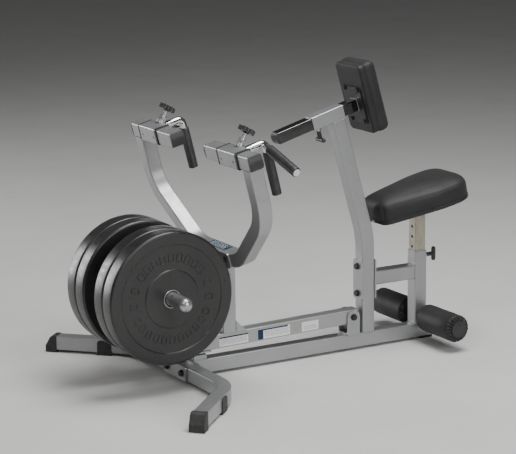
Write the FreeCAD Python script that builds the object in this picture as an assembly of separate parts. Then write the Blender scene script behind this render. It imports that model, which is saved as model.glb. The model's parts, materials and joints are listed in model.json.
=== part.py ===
"""Plate-loaded lever row machine, in millimetres.

X runs across the machine, the user sits at +Y and faces -Y, Z is up and the floor is z = 0.
Y is measured from the rear end of the lever while the parts are made, and everything is moved
along Y at the end so that the origin is under the middle of the whole machine.
"""
import FreeCAD, Part
import math
import os

from FreeCAD import Vector

# ---------------------------------------------------------------- driving dimensions
TUBE = 50.0                # outside size of the square frame tube
WALL = 2.5                 # its wall
CORNER = 4.0               # its outside corner radius
CAP_LIP = 1.5              # edge of the moulded cap on a tube's end
CAP_BULGE = 8.0            # the cap's face rises this much in the middle
FOOT_HEIGHT = 9.0          # the base tube stands this far above the floor
SLIDE_GAP = 0.3            # clearance per side between telescoping tubes
RUN_GAP = 0.05             # radial clearance of a shaft in its bore

BASE_REAR_Y = 320.0
STABILIZER_Y = -694.5      # centre line of the front cross tube
STABILIZER_BEND_X = 318.0  # where its legs turn forward
STABILIZER_LEG = 307.0
STABILIZER_BEND_RADIUS = 165.0

PIVOT_Y = -23.8
PIVOT_Z = 124.0
PIVOT_BOLT = 12.0
LEVER_DROP = 0.02          # the lever falls this much per unit of length towards the front
LEVER_FRONT_Y = -700.0
REST_Y = -638.0            # centre of the block that carries the lever at rest
CATCH_Y = -620.0           # centre of the striker plate under the lever
CATCH_THICKNESS = 5.0

POST_Y = -521.0            # upright post on the lever
HORN_Y = -812.9
HORN_Z = 327.8
HORN_RADIUS = 24.0
HORN_END_X = 258.0         # its domed nose starts here
HORN_GROOVE = (167.0, 170.0)  # marks off the free stretch beyond the outer plate
CLIP_HOLE_X = 193.0

PLATE_RADIUS = 225.0
PLATE_THICKNESS = 64.0
PLATE_GAP = 0.6            # between the two plates of a pair
PLATE_INNER_X = 40.4

HEAD_LEAN = 13.9           # the yoke's plane leans forward by this much (degrees)
HEAD_FRONT = Vector(0, -650.2, 770.1)   # on the front face, at the underside of the heads
HEAD_INNER_X = 124.0
HEAD_OUTER_X = 411.6
ARM_X = 382.0              # centre line of the yoke's upright arms
YOKE_DEPTH = 367.0         # centre line of its bottom below the heads
YOKE_BOTTOM_X = 155.0      # half length of its bottom
YOKE_SHOULDER = 180.0      # the arms turn inwards this far below the heads
YOKE_BEND_RADIUS = 150.0
SLEEVE_SIZE = 57.5
SLEEVE_X = (221.0, 332.0)
GUIDE_WIDTH = 10.5         # plastic guide at each end of a sleeve
HANDLE_X = 273.0           # pull pin of the left handle
HANDLE_BAR_X = 284.5       # its bar, beside the pin
HANDLE_BAR_RISE = 9.0      # the bar stands above the head's centre line
HANDLE_REACH = 86.0        # from the sleeve to the elbow
HANDLE_BEND = 18.0
HANDLE_HOLE_PITCH = 40.0
RIGHT_HANDLE_OUT = 13.0    # the right handle is set this much further out
HANDLE_RADIUS = 12.5
GRIP_RADIUS = 16.5
LOWER_GRIP = (32.0, 181.0)  # ends of the downward grip, from the elbow
OUTER_GRIP = (32.0, 189.0)  # ends of the outward grip, from the elbow
GRIP_ANGLE = 21.0          # the outward grip falls by this angle

MAST_Y = 43.0              # centre line of the lower part of the upright
MAST_BEND_Z = 406.6
MAST_BEND_RADIUS = 400.0
LEAN = 15.7                # the upright's lean, and the chest tube's rise (degrees)
CHEST_SLEEVE_SIZE = 48.0
CHEST_SLEEVE_LENGTH = 130.0
CHEST_SLEEVE_FRONT = Vector(0, -181.4, 827.9)
CHEST_TUBE_RANGE = (-138.0, 191.0)      # ends of the chest tube, from the sleeve's front end
CHEST_PAD = (160.0, 250.0, 68.0)
CHEST_PAD_RISE = 22.0      # centre of the pad above the tube

SEAT_POST_Y = 266.9
RECEIVER_TOP_Z = 328.0
SEAT_TUBE_Z = 252.0
SEAT_LEAN = 12.4           # the seat falls towards the front (degrees)
SEAT_FRONT_Y = 80.0
SEAT_FRONT_Z = 446.0       # underside of the seat pad at its front
SEAT_LENGTH = 364.0
SEAT_WIDTHS = (152.0, 256.0)
SEAT_THICKNESS = 86.0
SEAT_HOLE_PITCH = 36.8
SEAT_PIN_Z = 305.0
SEAT_POST_BOTTOM_Z = 140.0

ROLLER_Y = 274.0
ROLLER_Z = 86.0
ROLLER_RADIUS = 49.0
ROLLER_X = (49.0, 250.0)

X = Vector(1, 0, 0)
Y = Vector(0, 1, 0)
Z = Vector(0, 0, 1)
BASE_TOP = FOOT_HEIGHT + TUBE

PARTS = {}


# ---------------------------------------------------------------- small geometry helpers
def at(origin, *moves):
    """A point reached from origin by (direction, distance) moves."""
    point = Vector(origin)
    for way, distance in moves:
        point = point + way * distance
    return point


def mirrored(shape):
    """The same piece on the other side of the machine."""
    return shape.mirror(Vector(0, 0, 0), X)


def solid(shape):
    """The one solid of a boolean's result, with its split faces joined."""
    cleaned = shape.removeSplitter()
    return cleaned.Solids[0]


def fused(*shapes):
    return solid(shapes[0].multiFuse(list(shapes[1:])))


def rectangle(centre, across, along, width, depth, radius):
    """Rounded rectangle as a wire; width runs along across, depth runs along along."""
    half_w = width / 2
    half_d = depth / 2
    signs = [(1, -1), (1, 1), (-1, 1), (-1, -1)]
    corners = [at(centre, (across, sx * half_w), (along, sy * half_d)) for sx, sy in signs]
    return rounded_loop(corners, [radius] * 4)


def rounded_loop(corners, radii):
    """Closed wire through corners, each rounded to its radius."""
    edges = []
    ends = []
    count = len(corners)
    for i in range(count):
        before = (corners[i - 1] - corners[i]).normalize()
        after = (corners[(i + 1) % count] - corners[i]).normalize()
        if radii[i] <= 0:
            ends.append((corners[i], corners[i], None))
            continue
        half = before.getAngle(after) / 2
        tangent = radii[i] / math.tan(half)
        inward = (before + after).normalize()
        centre = corners[i] + inward * (radii[i] / math.sin(half))
        middle = centre - inward * radii[i]
        ends.append((corners[i] + before * tangent, corners[i] + after * tangent, middle))
    for i in range(count):
        start, end, middle = ends[i]
        if middle is not None:
            edges.append(Part.Arc(start, middle, end).toShape())
        edges.append(Part.LineSegment(end, ends[(i + 1) % count][0]).toShape())
    return Part.Wire(edges)


def section(centre, across, along, width, depth, wall, radius):
    """Face of a square tube, or of a bar where wall is 0."""
    face = Part.Face(rectangle(centre, across, along, width, depth, radius))
    if wall <= 0:
        return face
    inner_radius = max(radius - wall, 0.5)
    inner = rectangle(centre, across, along, width - 2 * wall, depth - 2 * wall, inner_radius)
    return face.cut(Part.Face(inner)).Faces[0]


def beam(start, end, across, width=TUBE, depth=TUBE, wall=WALL, radius=CORNER):
    """Straight tube, bar or plate from start to end, with its width along across."""
    run = end - start
    along = Vector(run).normalize().cross(across)
    return section(start, across, along, width, depth, wall, radius).extrude(run)


def plate(face_centre, normal, across, width, depth, thickness, radius=3.0):
    """Flat plate that stands on face_centre and is thickness thick along normal."""
    return beam(face_centre, at(face_centre, (normal, thickness)), across, width, depth, 0, radius)


def bent_tube(points, normal, bend_radius, wall=WALL):
    """Square tube whose centre line follows points in a plane, with round bends."""
    pieces = []
    start = points[0]
    for i in range(1, len(points)):
        way = (points[i] - points[i - 1]).normalize()
        across = normal.cross(way)
        if i == len(points) - 1:
            pieces.append(beam(start, points[i], across, wall=wall))
            break
        onward = (points[i + 1] - points[i]).normalize()
        turn = way.getAngle(onward)
        tangent = bend_radius * math.tan(turn / 2)
        bend_start = points[i] - way * tangent
        pieces.append(beam(start, bend_start, across, wall=wall))
        side = 1 if way.cross(onward).dot(normal) > 0 else -1
        centre = bend_start + across * (bend_radius * side)
        face = section(bend_start, across, way.cross(across), TUBE, TUBE, wall, CORNER)
        pieces.append(face.revolve(centre, normal * side, math.degrees(turn)))
        start = points[i] + onward * tangent
    return fused(*pieces)


def rod(start, way, length, radius):
    return Part.makeCylinder(radius, length, start, way)


def ring(start, way, length, radius, bore):
    return rod(start, way, length, radius).cut(rod(start, way, length, bore)).Solids[0]


def drilled(shape, *holes):
    """Cut round holes, each given as (start, direction, length, radius)."""
    result = shape
    for start, way, length, radius in holes:
        result = result.cut(rod(start, way, length, radius))
    return result.Solids[0]


def hexagon(start, way, length, flats):
    """Hexagonal prism, as a bolt's head or a nut."""
    side = way.cross(X)
    if side.Length < 0.1:
        side = way.cross(Z)
    side.normalize()
    other = way.cross(side)
    radius = flats / math.sqrt(3)
    angles = [math.radians(60 * i) for i in range(7)]
    points = [at(start, (side, radius * math.cos(a)), (other, radius * math.sin(a))) for a in angles]
    prism = Part.Face(Part.makePolygon(points)).extrude(way * length)
    cone = Part.makeCone(radius * 1.02, radius * 0.80, length, start, way)
    return prism.common(cone.fuse(rod(start, way, length * 0.6, radius * 1.02))).Solids[0]


def bolt_set(head_at, way, grip, size, nut=True):
    """Bolt, washers and nut that clamp grip millimetres; way points from head to nut."""
    washer = 0.2 * size
    radius = size / 2
    head = hexagon(at(head_at, (way, -washer)), way * -1, 0.62 * size, 1.6 * size)
    tail = grip + washer + (0.95 * size if nut else 0)
    shank = rod(at(head_at, (way, -washer)), way, washer + tail, radius)
    pieces = [fused(head, shank)]
    bore = radius + RUN_GAP
    pieces.append(ring(at(head_at, (way, -washer)), way, washer, size, bore))
    if nut:
        far = at(head_at, (way, grip))
        pieces.append(ring(far, way, washer, size, bore))
        blank = hexagon(at(far, (way, washer)), way, 0.8 * size, 1.6 * size)
        pieces.append(blank.cut(rod(far, way, 2 * size, bore)).Solids[0])
    return pieces


def end_cap(end, way, axle, size=TUBE):
    """Moulded cap on a tube's end: it bulges along way, runs straight along axle and has a plug."""
    block = beam(end, at(end, (way, CAP_LIP + CAP_BULGE)), axle, size, size, 0, CORNER)
    half = size / 2
    radius = (half * half + CAP_BULGE * CAP_BULGE) / (2 * CAP_BULGE)
    centre = at(end, (way, CAP_LIP + CAP_BULGE - radius), (axle, -size))
    inside = size - 2 * WALL - 1
    plug = beam(at(end, (way, -14.0)), end, axle, inside, inside, 0, 1.5)
    return fused(block.common(rod(centre, axle, 2 * size, radius)), plug)


def add(node, *shapes):
    """Keep shapes as one node; each shape is one or more solids."""
    solids = []
    for shape in shapes:
        members = shape if isinstance(shape, list) else [shape]
        for member in members:
            solids.extend(member.Solids)
    PARTS[node] = PARTS.get(node, []) + solids


# ---------------------------------------------------------------- base frame
def base():
    centre_z = FOOT_HEIGHT + TUBE / 2
    flange = 6.0
    cross_rear = STABILIZER_Y + TUBE / 2
    front_end = Vector(0, cross_rear + flange, centre_z)
    tube = beam(front_end, Vector(0, BASE_REAR_Y - 3, centre_z), X)
    face = plate(Vector(0, cross_rear, centre_z), Y, X, 150, TUBE, flange)
    bolt_x = 54.0
    clamp = 6.0
    front_y = STABILIZER_Y - TUBE / 2
    grip = clamp + TUBE + flange
    holes = [(Vector(sx * bolt_x, front_y - 10, centre_z), Y, 80, 6.3) for sx in (-1, 1)]
    add("base_tube", tube, drilled(face, *holes))

    cap_end = Vector(0, BASE_REAR_Y - 3, centre_z)
    cap = plate(cap_end, Y, X, TUBE, TUBE, 3, CORNER)
    plug = beam(cap_end - Y * 14, cap_end, X, 44, 44, 0, 1.5)
    add("base_end_cap", fused(cap, plug))

    add("clamp_plates", drilled(plate(Vector(0, front_y, centre_z), -Y, X, 160, TUBE, clamp, 6), *holes))
    for sx in (-1, 1):
        add("frame_bolts", bolt_set(Vector(sx * bolt_x, front_y - clamp, centre_z), Y, grip, 12))

    reach = STABILIZER_LEG / math.sqrt(2)
    bend = STABILIZER_BEND_X
    tip = Vector(bend + reach, STABILIZER_Y - reach, centre_z)
    points = [Vector(-tip.x, tip.y, tip.z), Vector(-bend, STABILIZER_Y, centre_z),
              Vector(bend, STABILIZER_Y, centre_z), tip]
    add("front_stabilizer", drilled(bent_tube(points, Z, STABILIZER_BEND_RADIUS), *holes))

    outward = Vector(1, -1, 0).normalize()
    right_cap = stabilizer_cap(tip, outward)
    add("stabilizer_end_feet", right_cap, mirrored(right_cap))
    strap = foot_strap(at(tip, (outward, -180.0)), outward)
    add("rubber_feet", strap, mirrored(strap), rear_foot())


def stabilizer_cap(tip, way):
    """Wedge-shaped rubber foot on the end of a leg; it reaches the floor."""
    side = way.cross(Z)
    size = TUBE + 2
    top = BASE_TOP + 1
    profile = [(0.0, 0.0), (42.0, 0.0), (42.0, 24.0), (22.0, top), (0.0, top)]
    start = Vector(tip.x, tip.y, 0)
    corners = [at(start, (way, run), (Z, rise), (side, -size / 2)) for run, rise in profile]
    body = Part.Face(rounded_loop(corners, [0, 4, 12, 14, 0])).extrude(side * size)
    plug = beam(at(tip, (way, -14.0)), tip, side, TUBE - 2 * WALL - 1, TUBE - 2 * WALL - 1, 0, 1.5)
    return fused(body, plug)


def foot_strap(centre, way):
    """Rubber foot that wraps under a leg and up both its sides."""
    side = way.cross(Z)
    wall = 4.0
    length = 52.0
    width = TUBE + 2 * wall
    start = Vector(centre.x, centre.y, 0)
    corners = [at(start, (side, sx * width / 2), (Z, z)) for sx, z in
               [(-1, 0.0), (1, 0.0), (1, BASE_TOP - 5), (-1, BASE_TOP - 5)]]
    outline = Part.Face(rounded_loop(corners, [5, 5, 0, 0])).extrude(way * length)
    outline.translate(way * (-length / 2))
    middle = Vector(centre.x, centre.y, FOOT_HEIGHT + TUBE / 2)
    leg = beam(at(middle, (way, -length)), at(middle, (way, length)), side, wall=0)
    shoulders = []
    for end in (-1, 1):
        corner = at(Vector(centre.x, centre.y, BASE_TOP - 5), (way, end * length / 2))
        block = beam(at(corner, (side, -width)), at(corner, (side, width)), Z, 24, 24, 0, 0)
        round_axis = at(corner, (way, -end * 12), (Z, -12), (side, -width))
        shoulders.append(block.cut(rod(round_axis, side, 2 * width, 12)).common(
            beam(at(corner, (way, -end * 6), (Z, -6), (side, -width)),
                 at(corner, (way, -end * 6), (Z, -6), (side, width)), Z, 12, 12, 0, 0)))
    strap = outline.cut(leg)
    for piece in shoulders:
        strap = strap.cut(piece)
    return strap.Solids[0]


def rear_foot():
    middle = FOOT_HEIGHT / 2
    return beam(Vector(0, BASE_REAR_Y - 52, middle), Vector(0, BASE_REAR_Y, middle), X, 42, FOOT_HEIGHT, 0, 2.0)


# ---------------------------------------------------------------- lever pivot and rest
def lever_point(y, up=0.0):
    """Point on the lever's centre line at y, raised by up."""
    return Vector(0, y, PIVOT_Z + (y - PIVOT_Y) * LEVER_DROP + up)


def pivot():
    ear = 6.0
    inner = TUBE / 2 + 1.0
    radius = TUBE / 2
    sides = []
    for sx in (-1, 1):
        start = sx * inner if sx > 0 else -inner - ear
        low = Vector(start, PIVOT_Y - radius, BASE_TOP)
        box = Part.makeBox(ear, 2 * radius, PIVOT_Z - BASE_TOP, low)
        sides.append(box.fuse(rod(Vector(start, PIVOT_Y, PIVOT_Z), X, ear, radius)))
    floor = Part.makeBox(2 * (inner + ear), 2 * radius, ear, Vector(-inner - ear, PIVOT_Y - radius, BASE_TOP))
    hole = (Vector(-60, PIVOT_Y, PIVOT_Z), X, 120, PIVOT_BOLT / 2 + RUN_GAP)
    add("pivot_bracket", drilled(fused(sides[0], sides[1], floor), hole))
    head = Vector(inner + ear, PIVOT_Y, PIVOT_Z)
    add("pivot_bolt", bolt_set(head, -X, 2 * (inner + ear), PIVOT_BOLT))


def rest():
    top = lever_point(REST_Y, -TUBE / 2).z
    bumper = 6.0
    length = 52.0
    block_top = top - CATCH_THICKNESS - bumper
    block = beam(Vector(0, REST_Y, BASE_TOP), Vector(0, REST_Y, block_top), X, TUBE, length, WALL, 3)
    add("lever_rest", block)
    lid = Vector(0, REST_Y, block_top)
    add("rest_bumper", plate(lid, Z, X, TUBE - 6, length - 8, bumper - 0.2, 4))


# ---------------------------------------------------------------- the lever
def lever():
    run = Vector(0, -1, -LEVER_DROP).normalize()
    up = Vector(0, -LEVER_DROP, 1).normalize()
    rear = lever_point(-3.0)
    front = lever_point(LEVER_FRONT_Y + 3.0)
    tube = beam(rear, front, X)
    bush_radius = 14.0
    bore = (Vector(-40, PIVOT_Y, PIVOT_Z), X, 80, bush_radius)
    sleeve = ring(Vector(-TUBE / 2, PIVOT_Y, PIVOT_Z), X, TUBE, bush_radius + 4, bush_radius)
    add("lever_tube", fused(drilled(tube, bore), sleeve))
    for sx in (-1, 1):
        face = Vector(sx * TUBE / 2, PIVOT_Y, PIVOT_Z)
        barrel = rod(at(face, (X, -sx * 18)), X * sx, 18, bush_radius - 0.02)
        lip = rod(face, X * sx, 0.8, bush_radius + 5)
        hole = (Vector(-60, PIVOT_Y, PIVOT_Z), X, 120, PIVOT_BOLT / 2 + RUN_GAP)
        add("lever_bushes", drilled(fused(barrel, lip), hole))
    rear_cap = fused(plate(rear, -run, X, TUBE, TUBE, 3, CORNER),
                     beam(at(rear, (run, 2)), rear, X, 44, 44, 0, 1.5))
    front_cap = fused(plate(front, run, X, TUBE, TUBE, 3, CORNER),
                      beam(at(front, (run, -14)), front, X, 44, 44, 0, 1.5))
    add("tube_end_caps", rear_cap, front_cap)
    underside = at(lever_point(CATCH_Y), (up, -TUBE / 2))
    add("lever_tube", plate(underside, -up, X, TUBE + 6, 50, CATCH_THICKNESS, 3))

    yoke_low = yoke_point(0, -YOKE_DEPTH - TUBE / 2, TUBE / 2)
    beyond = Vector(0, POST_Y, yoke_low.z + 60)
    post = beam(lever_point(POST_Y), beyond, X)
    above = beam(yoke_point(-60, -YOKE_DEPTH + 75, TUBE / 2), yoke_point(60, -YOKE_DEPTH + 75, TUBE / 2),
                 head_up(), 200, 300, 0, 0)
    below = beam(rear, front, X, TUBE, TUBE, 0, CORNER)
    post = post.cut(above).cut(below)
    gusset_run = 38.0
    face_y = POST_Y + TUBE / 2
    top = lever_point(face_y).z + TUBE / 2
    corners = [Vector(-TUBE / 2, face_y, top - 2), Vector(-TUBE / 2, face_y + gusset_run, top - 2),
               Vector(-TUBE / 2, face_y, top + gusset_run)]
    wedge = Part.Face(Part.makePolygon(corners + [corners[0]])).extrude(X * TUBE).cut(below)
    add("lever_post", post.Solids[0], wedge.Solids[0])
    add("horn_beam", horn_beam())


def horn_beam():
    front = Vector(0, HORN_Y - TUBE / 2, HORN_Z)
    rear = Vector(0, POST_Y - TUBE / 2, HORN_Z)
    return drilled(beam(front, rear, X), (Vector(-60, HORN_Y, HORN_Z), X, 120, HORN_RADIUS - 0.5))


def horns():
    collar_x = PLATE_INNER_X - 0.4
    groove_from, groove_to = HORN_GROOVE
    for sx in (-1, 1):
        way = X * sx
        start = Vector(sx * TUBE / 2, HORN_Y, HORN_Z)
        shaft = ring(start, way, HORN_END_X - TUBE / 2, HORN_RADIUS, HORN_RADIUS - 4)
        groove = ring(Vector(sx * groove_from, HORN_Y, HORN_Z), way, groove_to - groove_from,
                      HORN_RADIUS + 1, HORN_RADIUS - 0.4)
        collar = ring(Vector(sx * (collar_x - 8), HORN_Y, HORN_Z), way, 8, 42, HORN_RADIUS)
        clip_hole = (Vector(sx * CLIP_HOLE_X, HORN_Y, HORN_Z), Vector(0, -0.6, 0.8), 40, 3.2)
        add("weight_horns", drilled(shaft.cut(groove), clip_hole), collar)
        end = Vector(sx * HORN_END_X, HORN_Y, HORN_Z)
        nose = Part.makeSphere(HORN_RADIUS, end).common(rod(end, way, HORN_RADIUS + 1, HORN_RADIUS + 1))
        plug = rod(at(end, (way, -12)), way, 12, HORN_RADIUS - 4.1)
        add("horn_end_plugs", fused(nose, plug))
    cap_face = Vector(0, HORN_Y - TUBE / 2, HORN_Z)
    cap = plate(cap_face, -Y, X, TUBE, TUBE, 3, CORNER)
    add("tube_end_caps", fused(cap, beam(cap_face, cap_face + Y * 12, X, 44, 44, 0, 1.5).cut(
        rod(Vector(-60, HORN_Y, HORN_Z), X, 120, HORN_RADIUS))))


# ---------------------------------------------------------------- yoke and handle heads
def head_up():
    lean = math.radians(HEAD_LEAN)
    return Vector(0, -math.sin(lean), math.cos(lean))


def head_rear():
    lean = math.radians(HEAD_LEAN)
    return Vector(0, math.cos(lean), math.sin(lean))


def yoke_point(x, rise, depth):
    """Point given by x, its rise above the heads' underside and its depth behind the front face."""
    return at(HEAD_FRONT, (X, x), (head_up(), rise), (head_rear(), depth))


def yoke():
    half = TUBE / 2
    right = [(YOKE_BOTTOM_X, -YOKE_DEPTH), (ARM_X, -YOKE_SHOULDER), (ARM_X, 0.0)]
    left = [(-x, rise) for x, rise in reversed(right)]
    points = [yoke_point(x, rise, half) for x, rise in left + right]
    tube = bent_tube(points, head_rear() * -1, YOKE_BEND_RADIUS)
    bolt_x = 81.0
    bolt_at = [yoke_point(sx * bolt_x, -YOKE_DEPTH, -6) for sx in (-1, 1)]
    holes = [(at(p, (head_rear(), -20)), head_rear(), 120, 5.3) for p in bolt_at]
    add("yoke", drilled(tube, *holes))
    lug = plate(yoke_point(0, -YOKE_DEPTH - 2, 0), head_rear() * -1, X, 220, 54, 6, 8)
    add("yoke_plate", drilled(lug, *holes))
    for point in bolt_at:
        add("yoke_bolts", bolt_set(point, head_rear(), TUBE + 6, 10))


def heads():
    half = TUBE / 2
    inner = yoke_point(HEAD_INNER_X, half, half)
    outer = yoke_point(HEAD_OUTER_X, half, half)
    tube = beam(inner, outer, head_up())
    for out, flip in ((0, False), (RIGHT_HANDLE_OUT, True)):
        stops = [HANDLE_X + out + step * HANDLE_HOLE_PITCH for step in (-2, -1, 0, 1)]
        holes = [(yoke_point(x, half, half), corner_way(), 60, 5.5) for x in stops]
        member = drilled(tube, *holes)
        add("handle_tubes", mirrored(member) if flip else member)
    for end, way in ((inner, -X), (outer, X)):
        cap = end_cap(end, way, head_rear())
        add("tube_end_caps", cap, mirrored(cap))


def corner_way():
    """Direction from the head tube's centre out through its upper rear edge."""
    return (head_up() + head_rear()).normalize()


def handles():
    half = TUBE / 2
    inside = TUBE + 2 * SLIDE_GAP
    start = yoke_point(SLEEVE_X[0], half, half)
    end = yoke_point(SLEEVE_X[1], half, half)
    wall = (SLEEVE_SIZE - inside - 0.8) / 2
    sleeve = beam(start, end, head_up(), SLEEVE_SIZE, SLEEVE_SIZE, wall, 5.0)
    centre = yoke_point(HANDLE_X, half, half)
    way = corner_way()
    outside = rod(at(centre, (way, 35)), way, 12, 15)
    middle = hexagon(at(centre, (way, 47)), way, 19, 25)
    neck = rod(at(centre, (way, 66)), way, 17, 8)
    bore = (centre, way, 100, 5 + RUN_GAP)
    sleeve = drilled(fused(sleeve, outside, middle, neck), bore)
    screws = [(yoke_point(x, 22, -10), head_rear(), 14, 3.8) for x in (SLEEVE_X[0] + 14, SLEEVE_X[1] - 17)]
    sleeve = drilled(sleeve, *screws)
    inner_void = beam(start - X * 5, end + X * 5, head_up(), SLEEVE_SIZE - 2 * wall, SLEEVE_SIZE - 2 * wall, 0, 2)
    sleeve = sleeve.cut(inner_void).Solids[0]
    both("handle_sleeve", sleeve, right_out=RIGHT_HANDLE_OUT)

    guides = []
    for low in (SLEEVE_X[0] - GUIDE_WIDTH, SLEEVE_X[1]):
        guides.append(beam(yoke_point(low, half, half), yoke_point(low + GUIDE_WIDTH, half, half), head_up(),
                           SLEEVE_SIZE, SLEEVE_SIZE, (SLEEVE_SIZE - inside) / 2, 5.0))
    both("sleeve_guides", *guides, right_out=RIGHT_HANDLE_OUT)

    both("handle_bar", handle_bar().cut(sleeve).Solids[0], right_out=RIGHT_HANDLE_OUT)
    both("handle_grips", *grips(), right_out=RIGHT_HANDLE_OUT)

    knob_at = at(centre, (way, 87))
    pin = rod(at(centre, (way, 34.4)), way, 54, 5)
    both("handle_pin", star_knob(pin, knob_at, way), right_out=RIGHT_HANDLE_OUT)


def both(name, *shapes, right_out=0.0):
    """One node on each side; the left one is at +X and the right one right_out further out."""
    add(name + "_left", *shapes)
    add(name + "_right", *[mirrored(shape).translated(X * -right_out) for shape in shapes])


def star_knob(pin, base_at, way):
    """Five-lobed knob moulded on a pin."""
    height = 15.0
    lobe_radius = 9.5
    spread = 21.0
    side = X
    other = way.cross(side)
    pieces = [pin, rod(base_at, way, height, 19.0), rod(at(base_at, (way, -3)), way, 3, 10.0)]
    for i in range(5):
        angle = math.radians(72 * i + 18)
        lobe_at = at(base_at, (side, spread * math.cos(angle)), (other, spread * math.sin(angle)))
        pieces.append(rod(lobe_at, way, height, lobe_radius))
    return fused(*pieces)


def elbow_point():
    """Where the two grips of a handle meet."""
    depth = TUBE / 2 + SLEEVE_SIZE / 2 + HANDLE_REACH
    return yoke_point(HANDLE_BAR_X, TUBE / 2 + HANDLE_BAR_RISE, depth)


def outward_way():
    fall = math.radians(GRIP_ANGLE)
    return (X * math.cos(fall) - head_up() * math.sin(fall)).normalize()


def branch_root():
    """Start of the outward grip's centre line, on the elbow's bend."""
    inset = HANDLE_BEND * (1 - 1 / math.sqrt(2))
    return at(elbow_point(), (head_rear(), -inset), (head_up(), -inset))


def handle_bar():
    """Chrome bar: back from the sleeve, round an elbow and down, with an outward branch."""
    elbow = elbow_point()
    start = at(elbow, (head_rear(), -HANDLE_REACH))
    before = at(elbow, (head_rear(), -HANDLE_BEND))
    after = at(elbow, (head_up(), -HANDLE_BEND))
    low = at(elbow, (head_up(), -LOWER_GRIP[1] - 1))
    path = Part.Wire([Part.LineSegment(start, before).toShape(),
                      Part.Arc(before, branch_root(), after).toShape(),
                      Part.LineSegment(after, low).toShape()])
    circle = Part.Wire([Part.Circle(start, head_rear(), HANDLE_RADIUS).toShape()])
    main = path.makePipeShell([circle], True, False)
    branch = rod(branch_root(), outward_way(), OUTER_GRIP[1] + 2, HANDLE_RADIUS)
    return fused(main, branch)


def grips():
    """Rubber sleeves on the downward and the outward branch."""
    bore = HANDLE_RADIUS + 0.1
    down = head_up() * -1
    near, far = LOWER_GRIP
    lower = ring(at(elbow_point(), (down, near)), down, far - near, GRIP_RADIUS, bore)
    near, far = OUTER_GRIP
    outer = ring(at(branch_root(), (outward_way(), near)), outward_way(), far - near, GRIP_RADIUS, bore)
    return lower, outer


# ---------------------------------------------------------------- upright and seat frame
def slide_way():
    """The chest tube rises towards the user along this direction."""
    lean = math.radians(LEAN)
    return Vector(0, math.cos(lean), math.sin(lean))


def slide_up():
    lean = math.radians(LEAN)
    return Vector(0, -math.sin(lean), math.cos(lean))


def upright():
    bend = Vector(0, MAST_Y, MAST_BEND_Z)
    top = sleeve_landing(bend)
    points = [Vector(0, MAST_Y, BASE_TOP), bend, top]
    tube = bent_tube(points, X, MAST_BEND_RADIUS)
    bolt_z = (200.7, 298.4)
    front_y = MAST_Y - TUBE / 2
    rear_y = MAST_Y + TUBE / 2
    thickness = 6.0
    holes = [(Vector(0, front_y - 20, z), Y, 100, 6.3) for z in bolt_z]
    add("upright", drilled(tube, *holes))
    height = 143.0
    centre_z = sum(bolt_z) / 2
    add("clamp_plates", drilled(plate(Vector(0, front_y, centre_z + 1), -Y, X, 56, height, thickness, 10), *holes))
    rear = drilled(plate(Vector(0, rear_y, centre_z), Y, X, 56, height - 1, thickness, 4), *holes)
    add("seat_frame", rear)
    for z in bolt_z:
        add("frame_bolts", bolt_set(Vector(0, front_y - thickness, z), Y, TUBE + 2 * thickness, 12))
    seat_frame(rear_y + thickness)


def sleeve_landing(bend):
    """Where the leaning part of the upright meets the underside of the chest sleeve."""
    height = slide_up().dot(CHEST_SLEEVE_FRONT - bend) - CHEST_SLEEVE_SIZE / 2
    return at(bend, (slide_up(), height))


def seat_frame(start_y):
    front = SEAT_POST_Y - TUBE / 2
    nut = 26.0
    tube = beam(Vector(0, start_y, SEAT_TUBE_Z), Vector(0, front, SEAT_TUBE_Z), X)
    nuts = (Vector(0, start_y - 1, 298.4), Y, nut, 14)
    add("seat_frame", drilled(tube, nuts))
    pin_hole = (Vector(0, SEAT_POST_Y + 10, SEAT_PIN_Z), Y, 60, 5.5)
    bar_hole = (Vector(-60, ROLLER_Y, ROLLER_Z), X, 120, 12.8)
    post = beam(Vector(0, SEAT_POST_Y, BASE_TOP), Vector(0, SEAT_POST_Y, RECEIVER_TOP_Z), X, wall=3.0)
    add("seat_receiver", drilled(post, pin_hole, bar_hole))


# ---------------------------------------------------------------- seat
def seat_way():
    lean = math.radians(SEAT_LEAN)
    return Vector(0, math.cos(lean), math.sin(lean))


def seat_up():
    lean = math.radians(SEAT_LEAN)
    return Vector(0, -math.sin(lean), math.cos(lean))


def seat():
    front = Vector(0, SEAT_FRONT_Y, SEAT_FRONT_Z)
    carrier = 5.0
    plate_from = 70.0
    plate_length = 200.0
    middle = at(front, (seat_way(), plate_from + plate_length / 2), (seat_up(), -carrier - 0.2))
    size = TUBE - 2 * 3.0 - 2 * SLIDE_GAP
    holes = []
    for step in range(-4, 5):
        z = SEAT_PIN_Z + step * SEAT_HOLE_PITCH
        holes.append((Vector(0, SEAT_POST_Y - 60, z), Y, 120, 5.5))
    post = beam(Vector(0, SEAT_POST_Y, SEAT_POST_BOTTOM_Z), Vector(0, SEAT_POST_Y, 560), X, size, size, WALL, 3)
    above = beam(at(middle, (seat_way(), -300)), at(middle, (seat_way(), 300)), X, 300, 300, 0, 0)
    above.translate(seat_up() * 150)
    add("seat_post", drilled(post.cut(above), *holes))
    bracket = plate(middle, seat_up(), X, 110, plate_length, carrier, 8)
    bolt_spots = [(sx * 38, run) for sx in (-1, 1) for run in (-78, 78)]
    spots = [at(middle, (X, dx), (seat_way(), run)) for dx, run in bolt_spots]
    bracket = drilled(bracket, *[(at(s, (seat_up(), -20)), seat_up(), 60, 4.2) for s in spots])
    add("seat_bracket", bracket)
    pad = seat_pad(front)
    for spot in spots:
        add("seat_bolts", bolt_set(spot, seat_up(), carrier + 12, 8, nut=False))
        pad = pad.cut(rod(at(spot, (seat_up(), -5)), seat_up(), carrier + 22, 4.2))
    add("seat_pad", pad)


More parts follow.
